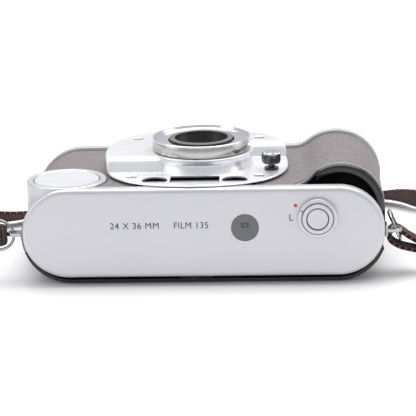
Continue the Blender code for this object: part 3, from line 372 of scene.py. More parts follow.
def bump(tree, shader, height, distance, strength=1.0):
    relief = tree.nodes.new("ShaderNodeBump")
    relief.inputs["Strength"].default_value = strength
    relief.inputs["Distance"].default_value = distance
    tree.links.new(height, relief.inputs["Height"])
    tree.links.new(relief.outputs["Normal"], shader.inputs["Normal"])


def spread(tree, value, low, high):
    """Stretch a 0.3..0.7 noise over a range of values."""
    fit = tree.nodes.new("ShaderNodeMapRange")
    fit.inputs["From Min"].default_value = 0.3
    fit.inputs["From Max"].default_value = 0.7
    fit.inputs["To Min"].default_value = low
    fit.inputs["To Max"].default_value = high
    tree.links.new(value, fit.inputs["Value"])
    return fit.outputs["Result"]


def grained(name, light, dark, rough, metallic=0.0, scale=3000.0, drift=60.0, relief=0.000004, **more):
    """A finish with fine grain in its relief and slow drift in its colour and roughness."""
    look, tree, shader = principled(name, rough[0], metallic, **more)
    grain = use_group(tree, GRAIN, Scale=scale, Drift=drift)
    tree.links.new(blend_colours(tree, grain.outputs["Drift"], dark, light), shader.inputs["Base Color"])
    tree.links.new(spread(tree, grain.outputs["Drift"], *rough), shader.inputs["Roughness"])
    bump(tree, shader, grain.outputs["Height"], relief)
    return look


def make_leather():
    look, tree, shader = principled("mauve_leather", 0.62, specular=0.35)
    grain = use_group(tree, PEBBLE, Scale=1250.0)
    colour = blend_colours(tree, spread(tree, grain.outputs["Speck"], 0.0, 1.0), (0.10, 0.086, 0.088),
        (0.335, 0.30, 0.305))
    tree.links.new(colour, shader.inputs["Base Color"])
    bump(tree, shader, grain.outputs["Height"], 0.00016)
    return look


def make_strap_look():
    look, tree, shader = principled("brown_webbing", 0.85, specular=0.2)
    weave = tree.nodes.new("ShaderNodeUVMap")
    weave.uv_map = "weave"
    cloth = use_group(tree, WEBBING)
    tree.links.new(weave.outputs["UV"], cloth.inputs["Weave"])
    # Painted shade in the weave: near black where the height is low, brown on the tops.
    base = blend_colours(tree, cloth.outputs["Height"], (0.010, 0.004, 0.004), (0.075, 0.036, 0.033))
    # Painted highlight dots mixed in over the shaded weave colour.
    mix = tree.nodes.new("ShaderNodeMix")
    mix.data_type = "RGBA"
    tree.links.new(cloth.outputs["Dot"], mix.inputs["Factor"])
    tree.links.new(base, mix.inputs["A"])
    mix.inputs["B"].default_value = (0.20, 0.11, 0.10, 1.0)
    tree.links.new(mix.outputs["Result"], shader.inputs["Base Color"])
    bump(tree, shader, cloth.outputs["Height"], 0.0004)
    shader.inputs["Sheen Weight"].default_value = 0.15
    return look


def make_turned_metal(name, light, dark):
    """Bright turned metal: fine streaks along the lens axis, from a noise drawn out along Z."""
    look, tree, shader = principled(name, 0.2, 1.0)
    place = tree.nodes.new("ShaderNodeTexCoord")
    draw = tree.nodes.new("ShaderNodeMapping")
    draw.inputs["Scale"].default_value = (1.0, 1.0, 0.03)
    tree.links.new(place.outputs["Object"], draw.inputs["Vector"])
    streak = tree.nodes.new("ShaderNodeTexNoise")
    streak.inputs["Scale"].default_value = 2600.0
    streak.inputs["Detail"].default_value = 3.0
    tree.links.new(draw.outputs["Vector"], streak.inputs["Vector"])
    tree.links.new(blend_colours(tree, streak.outputs["Fac"], dark, light), shader.inputs["Base Color"])
    tree.links.new(spread(tree, streak.outputs["Fac"], 0.20, 0.26), shader.inputs["Roughness"])
    return look


def make_glass(name, tint, roughness=0.03):
    """Clear glass with a faint tint."""
    look, tree, shader = principled(name, roughness, 0.0, transmission=1.0)
    shader.inputs["Base Color"].default_value = (*tint, 1.0)
    shader.inputs["IOR"].default_value = 1.5
    return look


def ramp_along(tree, axis, start, stop, kind="LINEAR"):
    """A mask that goes from 0 to 1 between two places along one axis of the object."""
    place = tree.nodes.new("ShaderNodeTexCoord")
    split = tree.nodes.new("ShaderNodeSeparateXYZ")
    tree.links.new(place.outputs["Object"], split.inputs[0])
    fit = tree.nodes.new("ShaderNodeMapRange")
    fit.interpolation_type = kind
    fit.inputs["From Min"].default_value = start * MM
    fit.inputs["From Max"].default_value = stop * MM
    tree.links.new(split.outputs[axis], fit.inputs["Value"])
    return fit.outputs["Result"]


def make_flank_shade_look(name, low, high, start, stop):
    """Chrome with painted shade on its flank: the flank is darker than its face, changing between two heights along
    Z.
    """
    look, tree, shader = principled(name, 0.12, 1.0)
    tree.links.new(blend_colours(tree, ramp_along(tree, "Z", start, stop), low, high), shader.inputs["Base Color"])
    grain = use_group(tree, GRAIN, Scale=2400.0, Drift=300.0)
    tree.links.new(spread(tree, grain.outputs["Drift"], 0.08, 0.16), shader.inputs["Roughness"])
    return look


def make_painted_reflection_glass(name, near, far, start, stop, roughness):
    """A window with a painted reflection: its tone goes from near to far along Y between two places, with its own
    specular off.
    """
    look, tree, shader = principled(name, roughness, specular=0.0)
    # Painted reflection: light grey at the near place, black at the far one.
    mask = ramp_along(tree, "Y", start, stop, "SMOOTHSTEP")
    tree.links.new(blend_colours(tree, mask, near, far), shader.inputs["Base Color"])
    grain = use_group(tree, GRAIN, Scale=900.0, Drift=200.0)
    tree.links.new(spread(tree, grain.outputs["Drift"], roughness, roughness + 0.05), shader.inputs["Roughness"])
    return look


SATIN = grained("satin_silver", (0.62, 0.62, 0.645), (0.57, 0.57, 0.595), (0.34, 0.44), 0.6, 4200.0)
PANEL = grained("panel_silver", (0.90, 0.905, 0.93), (0.85, 0.855, 0.88), (0.24, 0.32), 0.55, 5200.0)
BRIGHT = grained("polished_metal", (0.86, 0.86, 0.87), (0.78, 0.78, 0.80), (0.07, 0.14), 1.0, 2600.0)
WIRE = grained("plated_wire", (0.50, 0.50, 0.52), (0.34, 0.34, 0.36), (0.08, 0.16), 1.0, 2600.0)
STEEL = grained("brushed_steel", (0.56, 0.56, 0.58), (0.44, 0.44, 0.46), (0.26, 0.40), 1.0, 1800.0)
SCREW = grained("screw_steel", (0.42, 0.43, 0.47), (0.32, 0.33, 0.37), (0.3, 0.42), 0.5, 1800.0)
BLACK = grained("matt_black", (0.018, 0.017, 0.019), (0.010, 0.010, 0.011), (0.42, 0.60), 0.0, 2400.0,
    specular=0.25)
SHELL = grained("shell_black", (0.022, 0.021, 0.022), (0.012, 0.012, 0.013), (0.38, 0.55), 0.0, 1600.0, 40.0,
    0.00002)
GLOSS = grained("gloss_black", (0.012, 0.012, 0.014), (0.006, 0.006, 0.007), (0.10, 0.18), 0.0, 2000.0, coat=0.3)
LENS_BLACK = grained("lens_black", (0.020, 0.019, 0.020), (0.010, 0.010, 0.011), (0.34, 0.48), 0.0, 3000.0,
    specular=0.3)
FACE = grained("cell_face_bronze", (0.21, 0.185, 0.18), (0.17, 0.15, 0.145), (0.30, 0.42), 0.3, 3000.0)
WELL_BLACK = grained("well_black", (0.006, 0.006, 0.007), (0.003, 0.003, 0.003), (0.6, 0.8), 0.0, 2400.0,
    specular=0.1)
RED_LAMP = grained("dark_red", (0.09, 0.004, 0.012), (0.05, 0.002, 0.006), (0.06, 0.12), 0.0, 900.0)
RED_MARK = grained("red_mark", (0.72, 0.015, 0.03), (0.62, 0.010, 0.02), (0.35, 0.5))
INK = grained("dark_ink", (0.020, 0.019, 0.024), (0.012, 0.012, 0.015), (0.4, 0.6), specular=0.2)
BOARD = grained("green_board", (0.03, 0.20, 0.09), (0.02, 0.14, 0.06), (0.3, 0.5))
BRASS = grained("brass", (0.72, 0.55, 0.27), (0.60, 0.44, 0.20), (0.24, 0.36), 1.0)
SLEEVE = grained("battery_sleeve", (0.14, 0.16, 0.36), (0.10, 0.11, 0.26), (0.24, 0.34), 0.2)
LCD = grained("display_grey", (0.150, 0.152, 0.155), (0.115, 0.117, 0.12), (0.14, 0.22), 0.0, 1500.0)
LCD_DARK = grained("display_dark", (0.05, 0.05, 0.055), (0.035, 0.035, 0.04), (0.12, 0.2))
FROST = grained("frosted_flash", (0.68, 0.68, 0.71), (0.52, 0.52, 0.56), (0.30, 0.42), 0.0, 1400.0, 110.0, 0.00003)
LEATHER = make_leather()
STRAP = make_strap_look()
LENS_X, LENS_Y = -1.2, 0.65
TURNED = make_turned_metal("turned_bright", (0.80, 0.81, 0.84), (0.73, 0.74, 0.77))
# Darker copy of the turned metal for the lens ring's side band: painted shade.
RING_SIDE_SHADE = make_turned_metal("turned_side_shaded", (0.60, 0.585, 0.57), (0.42, 0.41, 0.40))
CLEAR = make_glass("clear_glass", (0.92, 0.95, 0.97))
COATED = make_glass("coated_glass", (0.35, 0.36, 0.50))
# Timer knob chrome: painted shade darkens the flank below 42.7; the face above 43.1 stays bright.
KNOB = make_flank_shade_look("knob_chrome", (0.10, 0.105, 0.115), (0.80, 0.81, 0.83), 42.7, 43.1)
# Viewfinder and focus windows: painted reflection, light grey towards the top face fading to black.
WINDOW = make_painted_reflection_glass("finder_glass", (0.42, 0.42, 0.44), (0.002, 0.002, 0.003), -26.0, -22.6, 0.10)
WINDOW_ROUND = make_painted_reflection_glass("focus_glass", (0.52, 0.52, 0.54), (0.002, 0.002, 0.003), -26.0, -23.2, 0.10)


# ---- strap --------------------------------------------------------------------------------
STRAP_WIDE = 9.0
STRAP_THICK = 2.0
STRAP_ROUTE = [
    (-83.6, -26.6, 13.4, 0), (-90.0, -24.0, 14.6, 0), (-98.0, -14.0, 13.0, 0), (-103.5, 2.0, 8.0, 0),
    (-104.5, 18.0, 2.6, 5), (-101.0, 32.0, 0.6, 20), (-91.0, 43.5, 0.3, 42), (-76.0, 50.0, 0.3, 60),
    (-65.0, 63.0, 0.3, 62), (-60.5, 82.0, 0.3, 45), (-59.0, 100.0, 0.3, 15), (-55.5, 113.0, 0.3, 0),
    (-48.0, 123.5, 0.3, 0), (-34.0, 131.0, 0.3, 0), (-8.0, 134.5, 0.3, 0), (18.0, 133.5, 0.3, 0),
    (37.0, 131.5, 0.3, 0), (51.0, 123.5, 0.3, 0), (55.0, 110.5, 0.3, 0), (47.5, 99.5, 0.3, 0),
    (31.0, 96.5, 0.3, 0), (4.0, 98.0, 0.3, 0), (-20.0, 99.0, 0.3, 0), (-35.0, 94.5, 0.3, 0),
    (-41.0, 82.0, 0.3, 0), (-34.5, 69.5, 0.3, 0), (-20.0, 65.0, 0.3, 5), (8.0, 69.0, 0.3, 25),
    (42.0, 77.0, 0.3, 62), (70.0, 74.0, 0.3, 60), (84.0, 62.5, 0.3, 24), (101.0, 52.0, 0.3, 8),
    (114.0, 36.0, 0.3, 0), (118.0, 17.0, 0.3, 0), (112.0, -2.0, 0.3, 25), (101.0, -14.0, 1.2, 60),
    (91.0, -17.6, 4.6, 82), (81.4, -18.2, 8.6, 90),
]


def smooth_route(points, steps):
    """Catmull-Rom curve through the points, with the same number of steps in every span."""
    points = np.asarray(points, float)
    ends = np.concatenate([points[:1], points, points[-1:]])
    p0, p1, p2, p3 = ends[:-3, None], ends[1:-2, None], ends[2:-1, None], ends[3:, None]
    t = np.linspace(0, 1, steps, endpoint=False)[None, :, None]
    curve = 0.5 * (2 * p1 + (p2 - p0) * t + (2 * p0 - 5 * p1 + 4 * p2 - p3) * t ** 2 + (3 * p1 - p0 - 3 * p2 + p3) * t ** 3)
    return np.concatenate([curve.reshape(-1, points.shape[1]), points[-1:]])


def unit(v):
    return v / np.linalg.norm(v, axis=-1, keepdims=True)


def band_rings(middles, wide, thick, half_wide, half_thick, across=16):
    """Rings of a soft-edged flat section: |a/w|^6 + |b/t|^2.6 = 1, carried along the middles."""
    turn = np.linspace(0, 2 * np.pi, across, endpoint=False)
    c, s = np.cos(turn), np.sin(turn)
    a = np.sign(c) * np.abs(c) ** (2 / 6) * half_wide
    b = np.sign(s) * np.abs(s) ** (2 / 2.6) * half_thick
    return middles[:, None] + wide[:, None] * a[None, :, None] + thick[:, None] * b[None, :, None], a


def strap_uv(middles, a):
    length = np.concatenate([[0], np.cumsum(np.linalg.norm(np.diff(middles, axis=0), axis=1))])
    return np.stack(np.broadcast_arrays(length[:, None], a[None, :] + 20.0), -1), length[-1]


def make_strap():
    """The strap on its route. Its section leans from standing on edge to lying flat."""
    route = smooth_route(STRAP_ROUTE, 14)
    lean = np.radians(route[:, 3])
    rise = (STRAP_WIDE * np.cos(lean) + STRAP_THICK * np.sin(lean)) / 2
    middles = route[:, :3].copy()
    middles[:, 2] += rise
    ahead = unit(np.gradient(middles, axis=0))
    side = unit(np.stack([ahead[:, 1], -ahead[:, 0], 0 * ahead[:, 0]], -1))
    up = np.cross(ahead, side)
    up *= np.where(up[:, 2:] < 0, -1.0, 1.0)
    wide = up * np.cos(lean)[:, None] + side * np.sin(lean)[:, None]
    thick = np.cross(ahead, wide)
    rings, a = band_rings(middles, wide, thick, STRAP_WIDE / 2, STRAP_THICK / 2)
    uv, length = strap_uv(middles, a)
    band = surface("woven_strap", rings, look=STRAP, slot="strap", stands_for=["strap_band"], crease=0, uv=uv)
    return length


# ---- body sizes ---------------------------------------------------------------------------
COVER_BACK, COVER_FRONT, COVER_HALF = 3.15, 36.05, 65.0
COVER_EDGE_Y, BASE_EDGE_Y = -28.85, 28.85
BODY_LOW_Y, BODY_HIGH_Y = -28.55, 28.55
BODY_DEPTH, BODY_R, END_X = 35.3, 17.65, 48.2
GRIP_X, GRIP_Z, GRIP_R, COVE_R = 49.6, 25.1, 16.0, 10.66
SEAM_Z = 11.6
FLASH_X, FLASH_Y, FLASH_R, FLASH_FRONT = -49.77, -17.16, 14.59, 36.3
PANEL_X, PANEL_HALF_X, PANEL_HALF_Y, PANEL_POWER = -2.85, 33.8, 32.6, 2.35
PANEL_BACK, PANEL_LOW, PANEL_HIGH = 36.35, 36.95, 42.2
BOSS_R, BOSS_TOP = 19.3, 42.6
FINDER_X, FINDER_Y, FINDER_WIDE, FINDER_HIGH = -2.9, -23.4, 17.8, 9.4
AF_STEP, AF_Y, AF_R = 14.4, -24.2, 4.65
TIMER_X, TIMER_Y = 24.7, -9.8
RELEASE_X, RELEASE_Z = 40.9, 24.95
LCD_X, LCD_Z, LCD_R = 15.05, 21.5, 4.9
LUG_Y, LUG_Z, EYE_X = -24.2, 17.7, 69.15


FLASH_PLAY = 0.3
FLASH_HOLE_Z = 15.5, 45.0
LEATHER_THICK = 1.2


def dense(path, spacing):
    """The same path with points an even step apart, by interpolation over its length."""
    far = np.concatenate([[0], np.cumsum(np.linalg.norm(np.diff(path, axis=0), axis=1))])
    at = np.linspace(0, far[-1], max(2, int(far[-1] / spacing)))
    return np.stack([np.interp(at, far, path[:, 0]), np.interp(at, far, path[:, 1])], -1)


def cover_outline(inset, steps=48):
    """The top cover in (x, z): two half circles of radius r - inset joined by straight sides."""
    radius = (COVER_FRONT - COVER_BACK) / 2
    middle = (COVER_FRONT + COVER_BACK) / 2
    centre = COVER_HALF - radius
    right = arc(centre, middle, radius - inset, -90, 90, steps)
    return np.concatenate([right, arc(-centre, middle, radius - inset, 90, 270, steps)])


def front_path(inset, left_z, right_z, start_x=None, back=0.0, depth=BODY_DEPTH):
    """The body's front in (x, z): round end, flat front, hollow cove, round grip, round end.

    Neighbouring arcs meet where they share a tangent.
    """
    radius = (depth - back) / 2 - inset
    middle = (depth + back) / 2
    front = depth - inset
    grip = GRIP_R - inset
    cove = COVE_R + inset
    cove_x = GRIP_X - math.sqrt((grip + cove) ** 2 - (front + cove - GRIP_Z) ** 2)
    meet = math.degrees(math.atan2(front + cove - GRIP_Z, cove_x - GRIP_X))
    across = Vector((END_X - GRIP_X, middle - GRIP_Z))
    tangent = math.degrees(math.atan2(across.y, across.x) + math.acos((grip - radius) / across.length))
    last = math.degrees(math.asin((right_z - middle) / radius))
    if start_x is None:
        first = 180 - math.degrees(math.asin((left_z - middle) / radius))
        head = arc(-END_X, middle, radius, first, 90, 40)
    else:
        head = np.array([[start_x, front]])
    return np.concatenate([
        head,
        arc(cove_x, front + cove, cove, -90, meet - 180, 24),
        arc(GRIP_X, GRIP_Z, grip, meet, tangent, 64)[1:],
        arc(END_X, middle, radius, tangent, last, 24)[1:],
    ])


def full_outline(inset, back, depth, steps=24):
    middle, radius = (depth + back) / 2, (depth - back) / 2 - inset
    return np.concatenate([
        front_path(inset, middle, middle, None, back, depth),
        arc(END_X, middle, radius, 0, -90, steps)[1:],
        arc(-END_X, middle, radius, -90, -180, steps)[:-1],
    ])


def swept(outline_at, rings):
    """Rings of an outline at each (inset, y)."""
    layers = []
    for inset, y in rings:
        ring = outline_at(inset)
        layers.append(np.stack([ring[:, 0], np.full(len(ring), y), ring[:, 1]], -1))
    return np.stack(layers)


def strip(outer, inner, low, high, edge=0.3, steps=5, edge_high=None):
    """A skin piece between two paths in (x, z), from y = low to y = high, with rounded edges.

    Each station is a closed ring: inside, quarter round of radius edge, outside, quarter round.
    """
    thick = np.linalg.norm(outer - inner, axis=1)[:, None]
    out = (outer - inner) / thick
    low = np.broadcast_to(low, len(outer))[:, None]
    high = np.broadcast_to(high, len(outer))[:, None]
    quarter = np.radians(np.linspace(0, 90, steps))[None]
    edge_high = edge if edge_high is None else edge_high
    sunk = np.concatenate([
        thick, edge * (1 - np.sin(quarter)) + 0 * low, edge_high * (1 - np.cos(quarter)) + 0 * low, thick,
    ], 1)
    y = np.concatenate([
        low, low + edge * (1 - np.cos(quarter)), high - edge_high * (1 - np.sin(quarter)), high,
    ], 1)
    x = outer[:, :1] - out[:, :1] * sunk
    z = outer[:, 1:] - out[:, 1:] * sunk
    return np.stack([x, y, z], -1)


def flash_hole():
    """The round room for the flash, with FLASH_PLAY of air round the housing."""
    return column(circle((FLASH_X, FLASH_Y), FLASH_R + FLASH_PLAY, 160), "Z", *FLASH_HOLE_Z)


def make_covers():
    """Both silver end covers: a stadium and the full body outline with a rounded face edge."""
    quarter = np.radians(np.linspace(0, 90, 9))
    edge = 1.8
    rounding = [(edge * (1 - math.cos(t)), edge * (1 - math.sin(t))) for t in quarter]
    rings = [(3.0, COVER_EDGE_Y), (0.2, COVER_EDGE_Y), (0.0, COVER_EDGE_Y - 0.2)]
    rings += [(inset, TOP_Y + drop) for inset, drop in rounding] + [(3.2, TOP_Y)]
    top = surface("top_cover_shell", swept(cover_outline, rings), look=SATIN, slot="top_cover",
        stands_for=["top_cover"])
    cut(top, [
        cutter("flash_room", flash_hole()),
        cutter("release_room", column(circle((RELEASE_X, RELEASE_Z), 4.05), "Y", TOP_Y - 1, -20.0)),
        cutter("display_room", column(circle((LCD_X, LCD_Z), LCD_R + 0.12, 96), "Y", TOP_Y - 1, TOP_Y + 0.55)),
    ])

    def base_outline(inset):
        return full_outline(inset - 1.15, 0.95, BODY_DEPTH)

    rings = [(3.0, BASE_EDGE_Y), (0.2, BASE_EDGE_Y), (0.0, BASE_EDGE_Y + 0.2)]
    rings += [(inset, BOTTOM_Y - drop) for inset, drop in rounding] + [(3.2, BOTTOM_Y)]
    base = surface("bottom_cover_shell", swept(base_outline, rings), look=SATIN, slot="bottom_cover",
        stands_for=["bottom_cover"])
    door = np.array([(42.2, 18.2), (59.8, 18.2), (59.8, 34.8), (42.2, 34.8)])
    cut(base, [
        cutter("battery_room", column(door, "Y", BOTTOM_Y - 3.5, BOTTOM_Y + 1)),
        cutter("tripod_room", column(circle((8.0, 17.0), 5.3), "Y", BOTTOM_Y - 6, BOTTOM_Y + 1)),
    ])


def leather_edge(x):
    """Near edge of the grip's leather: along the cover, then slanting back to the grip's end."""
    return np.interp(x, [29.5, 40.5], [BODY_LOW_Y, -17.4])


def make_leather_pieces():
    outer = front_path(0.0, SEAM_Z + 0.3, SEAM_Z)[:40]
    inner = front_path(LEATHER_THICK, SEAM_Z + 0.3, SEAM_Z)[:40]
    outer = np.concatenate([outer, [[-24.6, BODY_DEPTH]]])
    inner = np.concatenate([inner, [[-24.6, BODY_DEPTH - LEATHER_THICK]]])
    left = surface("leather_left_panel", strip(outer, inner, BODY_LOW_Y, BODY_HIGH_Y), look=LEATHER,
        slot="leather", stands_for=["leather_left"])
    cut(left, [cutter("flash_side", flash_hole())])

    outer = dense(front_path(0.0, 0, SEAM_Z + 0.3, 18.95), 0.6)
    inner = dense(front_path(LEATHER_THICK, 0, SEAM_Z + 0.3, 18.95), 0.6)
    at = np.linspace(0, 1, 150)
    outer = np.stack([np.interp(at, np.linspace(0, 1, len(outer)), outer[:, k]) for k in (0, 1)], -1)
    inner = np.stack([np.interp(at, np.linspace(0, 1, len(inner)), inner[:, k]) for k in (0, 1)], -1)
    near = leather_edge(outer[:, 0])
    near[outer[:, 1] < 25] = -17.4
    surface("grip_leather", strip(outer, inner, near, BODY_HIGH_Y), look=LEATHER, slot="leather",
        stands_for=["leather_grip"])

    from_trim = outer[:, 0] > 30.2
    aside = np.clip((outer[from_trim, 0] - 30.2) / 11.5, 0, 1)
    trim_near = near[from_trim] - 1.3 * np.sin(math.pi * aside)
    surface("grip_trim_line", strip(outer[from_trim], inner[from_trim], trim_near - 1.2, trim_near - 0.3, 0.15,
        3), look=SATIN, slot="trim", stands_for=["grip_trim"])

    from_cap = outer[:, 0] > 41.2
    shell, under = outer[from_cap], inner[from_cap]
    deep = shell + (under - shell) * 2.4
    surface("grip_cap_shell", strip(shell, deep, -20.9, -18.6, 1.7, 10, 0.2), look=GLOSS, slot="grip_cap",
        stands_for=["grip_end_cap"])


# ---- front panel --------------------------------------------------------------------------
def panel_points(rings=64, steps=480):
    """Panel skin on a polar grid round the lens axis.

    Each ray runs from the lens bore over the boss lip, down a hollow wall, across the panel and
    over its rounded edge. Panel height is low + (high - low) * smooth step across the shoulder
    line, which is at one y left of the lens and at another right of it.
    """
    turn = np.linspace(0, 2 * np.pi, steps, endpoint=False)
    c, s = np.cos(turn), np.sin(turn)
    rim = np.stack([
        PANEL_X + np.sign(c) * np.abs(c) ** (2 / PANEL_POWER) * PANEL_HALF_X,
        LENS_Y + np.sign(s) * np.abs(s) ** (2 / PANEL_POWER) * PANEL_HALF_Y,
    ], -1)
    axis = np.array([LENS_X, LENS_Y])
    reach = np.linalg.norm(rim - axis, axis=1)
    ray = (rim - axis) / reach[:, None]

    def level(x, y):
        foot = np.where(x < LENS_X, -12.7, 9.0)
        t = np.clip((y - foot) / np.where(x < LENS_X, 4.2, 5.5), 0, 1)
        rise = np.sqrt(1 - (1 - t) ** 2.2)
        soft = np.clip((y - foot + 0.5) / 1.6, 0, 1)
        return PANEL_LOW + (PANEL_HIGH - PANEL_LOW) * rise * soft * soft * (3 - 2 * soft)

    layers = []

    def ring(radius, height):
        radius = np.broadcast_to(radius, steps)
        at = axis + ray * radius[:, None]
        layers.append(np.stack([at[:, 0], at[:, 1], np.broadcast_to(height, steps)], -1))

    ring(16.2, PANEL_BACK)
    ring(16.2, BOSS_TOP - 0.15)
    ring(16.35, BOSS_TOP)
    ring(18.75, BOSS_TOP)
    for t in np.radians(np.linspace(15, 90, 5)):
        ring(18.75 + 0.4 * math.sin(t), BOSS_TOP - 0.4 + 0.4 * math.cos(t))
    foot = axis + ray * 19.3
    ground = level(foot[:, 0], foot[:, 1])
    share = (BOSS_TOP - 0.4 - ground) / (BOSS_TOP - 0.4 - PANEL_LOW)
    for t in np.linspace(0.06, 1, 16):
        hollow = 1.25 * math.sin(math.pi * t ** 0.8) * share
        ring(19.15 - hollow + 0.15 * t ** 3, (BOSS_TOP - 0.4) + (ground - (BOSS_TOP - 0.4)) * t)
    edge = 0.8
    for t in np.linspace(0, 1, rings)[1:]:
        radius = 19.3 + (reach - edge - 19.3) * t
        at = axis + ray * radius[:, None]
        ring(radius, level(at[:, 0], at[:, 1]))
    end = axis + ray * (reach - edge)[:, None]
    top = level(end[:, 0], end[:, 1])
    for t in np.radians(np.linspace(18, 90, 5)):
        ring(reach - edge + edge * math.sin(t), top - 0.75 * edge * (1 - math.cos(t)))
    ring(reach, PANEL_BACK)
    return np.stack(layers)


def make_panel():
    panel = surface("front_panel_shell", panel_points(), wrap_rows=True, look=PANEL, slot="front_panel",
        stands_for=["front_panel"], crease=40)
    half_x, half_y = FINDER_WIDE / 2, FINDER_HIGH / 2
    sight = np.array([
        (FINDER_X - half_x, FINDER_Y - half_y), (FINDER_X + half_x, FINDER_Y - half_y),
        (FINDER_X + half_x, FINDER_Y + half_y), (FINDER_X - half_x, FINDER_Y + half_y),
    ])
    tools = [cutter("finder_room", column(sight, "Z", 30, 50))]
    for side in (-1, 1):
        tools.append(cutter("sensor_room", column(circle((FINDER_X + side * AF_STEP, AF_Y), AF_R, 96), "Z", 30,
            50)))
    tools.append(cutter("timer_room", column(circle((TIMER_X, TIMER_Y), 1.5), "Z", 30, 50)))
    screws = [(FINDER_X + side * 23.1, y, top) for y, top in ((-18.8, PANEL_LOW), (18.5,
        PANEL_HIGH)) for side in (-1, 1)]
    for x, y, top in screws:
        cone = np.stack([
            np.concatenate([circle((x, y), 1.9), np.full((64, 1), top - 1.6)], 1),
            np.concatenate([circle((x, y), 1.9), np.full((64, 1), top - 0.3)], 1),
            np.concatenate([circle((x, y), 2.6), np.full((64, 1), top + 0.4)], 1),
        ])
        tools.append(cutter("screw_room", cone))
    cut(panel, tools)
    for number, (x, y, top) in enumerate(screws, 1):
        head = [(0, top - 1.5), (1.6, top - 1.5), (1.6, top - 0.35), (1.5, top - 0.2), (1.2, top - 0.12),
            (0.6, top - 0.08), (0, top - 0.08)]
        screw = turned("panel_screw_%d" % number, head, (x, y), steps=48, look=SCREW, slot="screws",
            stands_for=["front_screw_%d" % number])
        slot = np.array([(x - 3, y - 0.22), (x + 3, y - 0.22), (x + 3, y + 0.22), (x - 3, y + 0.22)])
        cut(screw, [cutter("screw_slot", column(slot, "Z", top - 0.6, top + 1))])


def box_points(x, y, z, edge=0.15):
    """A box with slightly rounded long edges, as rings of a rounded rectangle along Z."""
    corners = [(x[1], y[1], 0), (x[0], y[1], 90), (x[0], y[0], 180), (x[1], y[0], 270)]
    outline = []
    for cx, cy, start in corners:
        mid_x = cx - edge if cx == x[1] else cx + edge
        mid_y = cy - edge if cy == y[1] else cy + edge
        outline.append(arc(mid_x, mid_y, edge, start, start + 90, 5))
    outline = np.concatenate(outline)
    middle = np.array([(x[0] + x[1]) / 2, (y[0] + y[1]) / 2])
    small = middle + (outline - middle) * (1 - 2 * edge / np.array([x[1] - x[0], y[1] - y[0]]))
    rings = [(small, z[0]), (outline, z[0] + edge), (outline, z[1] - edge), (small, z[1])]
    return np.stack([np.concatenate([o, np.full((len(o), 1), h)], 1) for o, h in rings])


def make_windows():
    half_x, half_y = FINDER_WIDE / 2 - 0.15, FINDER_HIGH / 2 - 0.15
    glass = box_points((FINDER_X - half_x, FINDER_X + half_x), (FINDER_Y - half_y, FINDER_Y + half_y), (35.4, 36.5))
    surface("viewfinder_glass", glass, look=WINDOW, slot="clear_glass", stands_for=["viewfinder_window"])
    for side, name in ((-1, "left"), (1, "right")):
        rim = [(0, 35.4), (4.5, 35.4), (4.5, 36.35), (4.4, 36.45), (0, 36.5)]
        turned("focus_window_" + name, rim, (FINDER_X + side * AF_STEP, AF_Y), steps=72, look=WINDOW_ROUND,
            slot="dark_glass", stands_for=["af_window_" + name])


# ---- lens, timer and flash ----------------------------------------------------------------
def make_lens():
    at = (LENS_X, LENS_Y)
    ring = np.concatenate([
        [(12.15, 42.9)], [(12.15, 45.7)], straight((12.3, 46.1), (15.6, 46.15), 6), arc(16.2, 47.0, 0.85, -110,
            -10, 6),
        [(17.25, 47.3)], arc(17.75, 47.05, 0.35, 100, 0, 6), [(18.1, 46.8), (17.8, 46.7), (17.8, 42.9)],
    ])
    turned("lens_ring_bright", ring, at, steps=192, look=TURNED, slot="lens_ring", stands_for=["lens_ring"])
    band = [(17.6, 43.0), (18.02, 43.0), (18.06, 43.15), (18.06, 46.55), (17.98, 46.7), (17.6, 46.7)]
    # The ring's side band uses the darker turned metal: painted shade.
    turned("lens_ring_band", band, at, steps=192, look=RING_SIDE_SHADE, slot="lens_ring")
    cell = np.concatenate([
        [(9.5, 32.8), (11.8, 32.8), (11.8, 46.2)], arc(11.4, 46.4, 0.4, 0, 90, 5), [(10.1, 46.8)], arc(10.1,
            46.5, 0.3, 90, 180, 4),
        [(9.7, 46.0), (9.45, 45.4), (9.3, 45.1), (9.1, 44.6), (8.95, 44.3), (8.75, 43.8), (8.6, 43.5),
            (8.4, 43.0), (8.2, 42.8), (7.6, 42.8), (7.6, 34.8)],
    ])
    turned("lens_cell_black", cell, at, steps=160, look=LENS_BLACK, slot="lens_black",
        stands_for=["lens_cell"], body="focus_cell")
    face = [(9.95, 46.75), (11.5, 46.75), (11.75, 46.6), (11.75, 46.85), (11.5, 46.95), (10.0, 46.95),
        (9.85, 46.85)]
    turned("lens_cell_face", face, at, steps=160, look=FACE, slot="lens_black", body="focus_cell")
    glass = np.concatenate([[(0, 38.0), (7.3, 38.6), (7.3, 41.2)], [(6.5, 41.75), (5.2, 42.25), (3.6, 42.6),
        (1.8, 42.77), (0, 42.8)]])
    turned("front_glass", glass, at, steps=96, look=COATED, slot="lens_glass", stands_for=["front_element"],
        body="focus_cell")


def make_timer():
    at = (TIMER_X, TIMER_Y)
    knob = np.concatenate([
        [(0, 36.7), (1.2, 36.7), (1.2, 39.3), (2.6, 39.3)], arc(2.83, 39.9, 0.6, -80, 0, 5), [(3.6, 41.0),
            (3.6, 42.9)],
        arc(2.9, 42.9, 0.7, 5, 80, 7), [(1.2, 43.62), (0, 43.6)],
    ])
    turned("timer_knob_chrome", knob, at, steps=144, flutes=9, depth=0.3, flute_from=3.2, look=KNOB,
        slot="chrome", stands_for=["timer_knob"], body="timer", crease=25)
    lamp = np.concatenate([[(1.5, 36.7), (2.6, 36.7), (2.6, 37.5)], arc(2.3, 37.55, 0.3, 0, 90, 5),
        [(1.6, 37.85), (1.5, 37.8)]])
    turned("timer_lamp_band", lamp, at, steps=72, look=RED_LAMP, slot="red_lamp", stands_for=["timer_lamp_ring"])


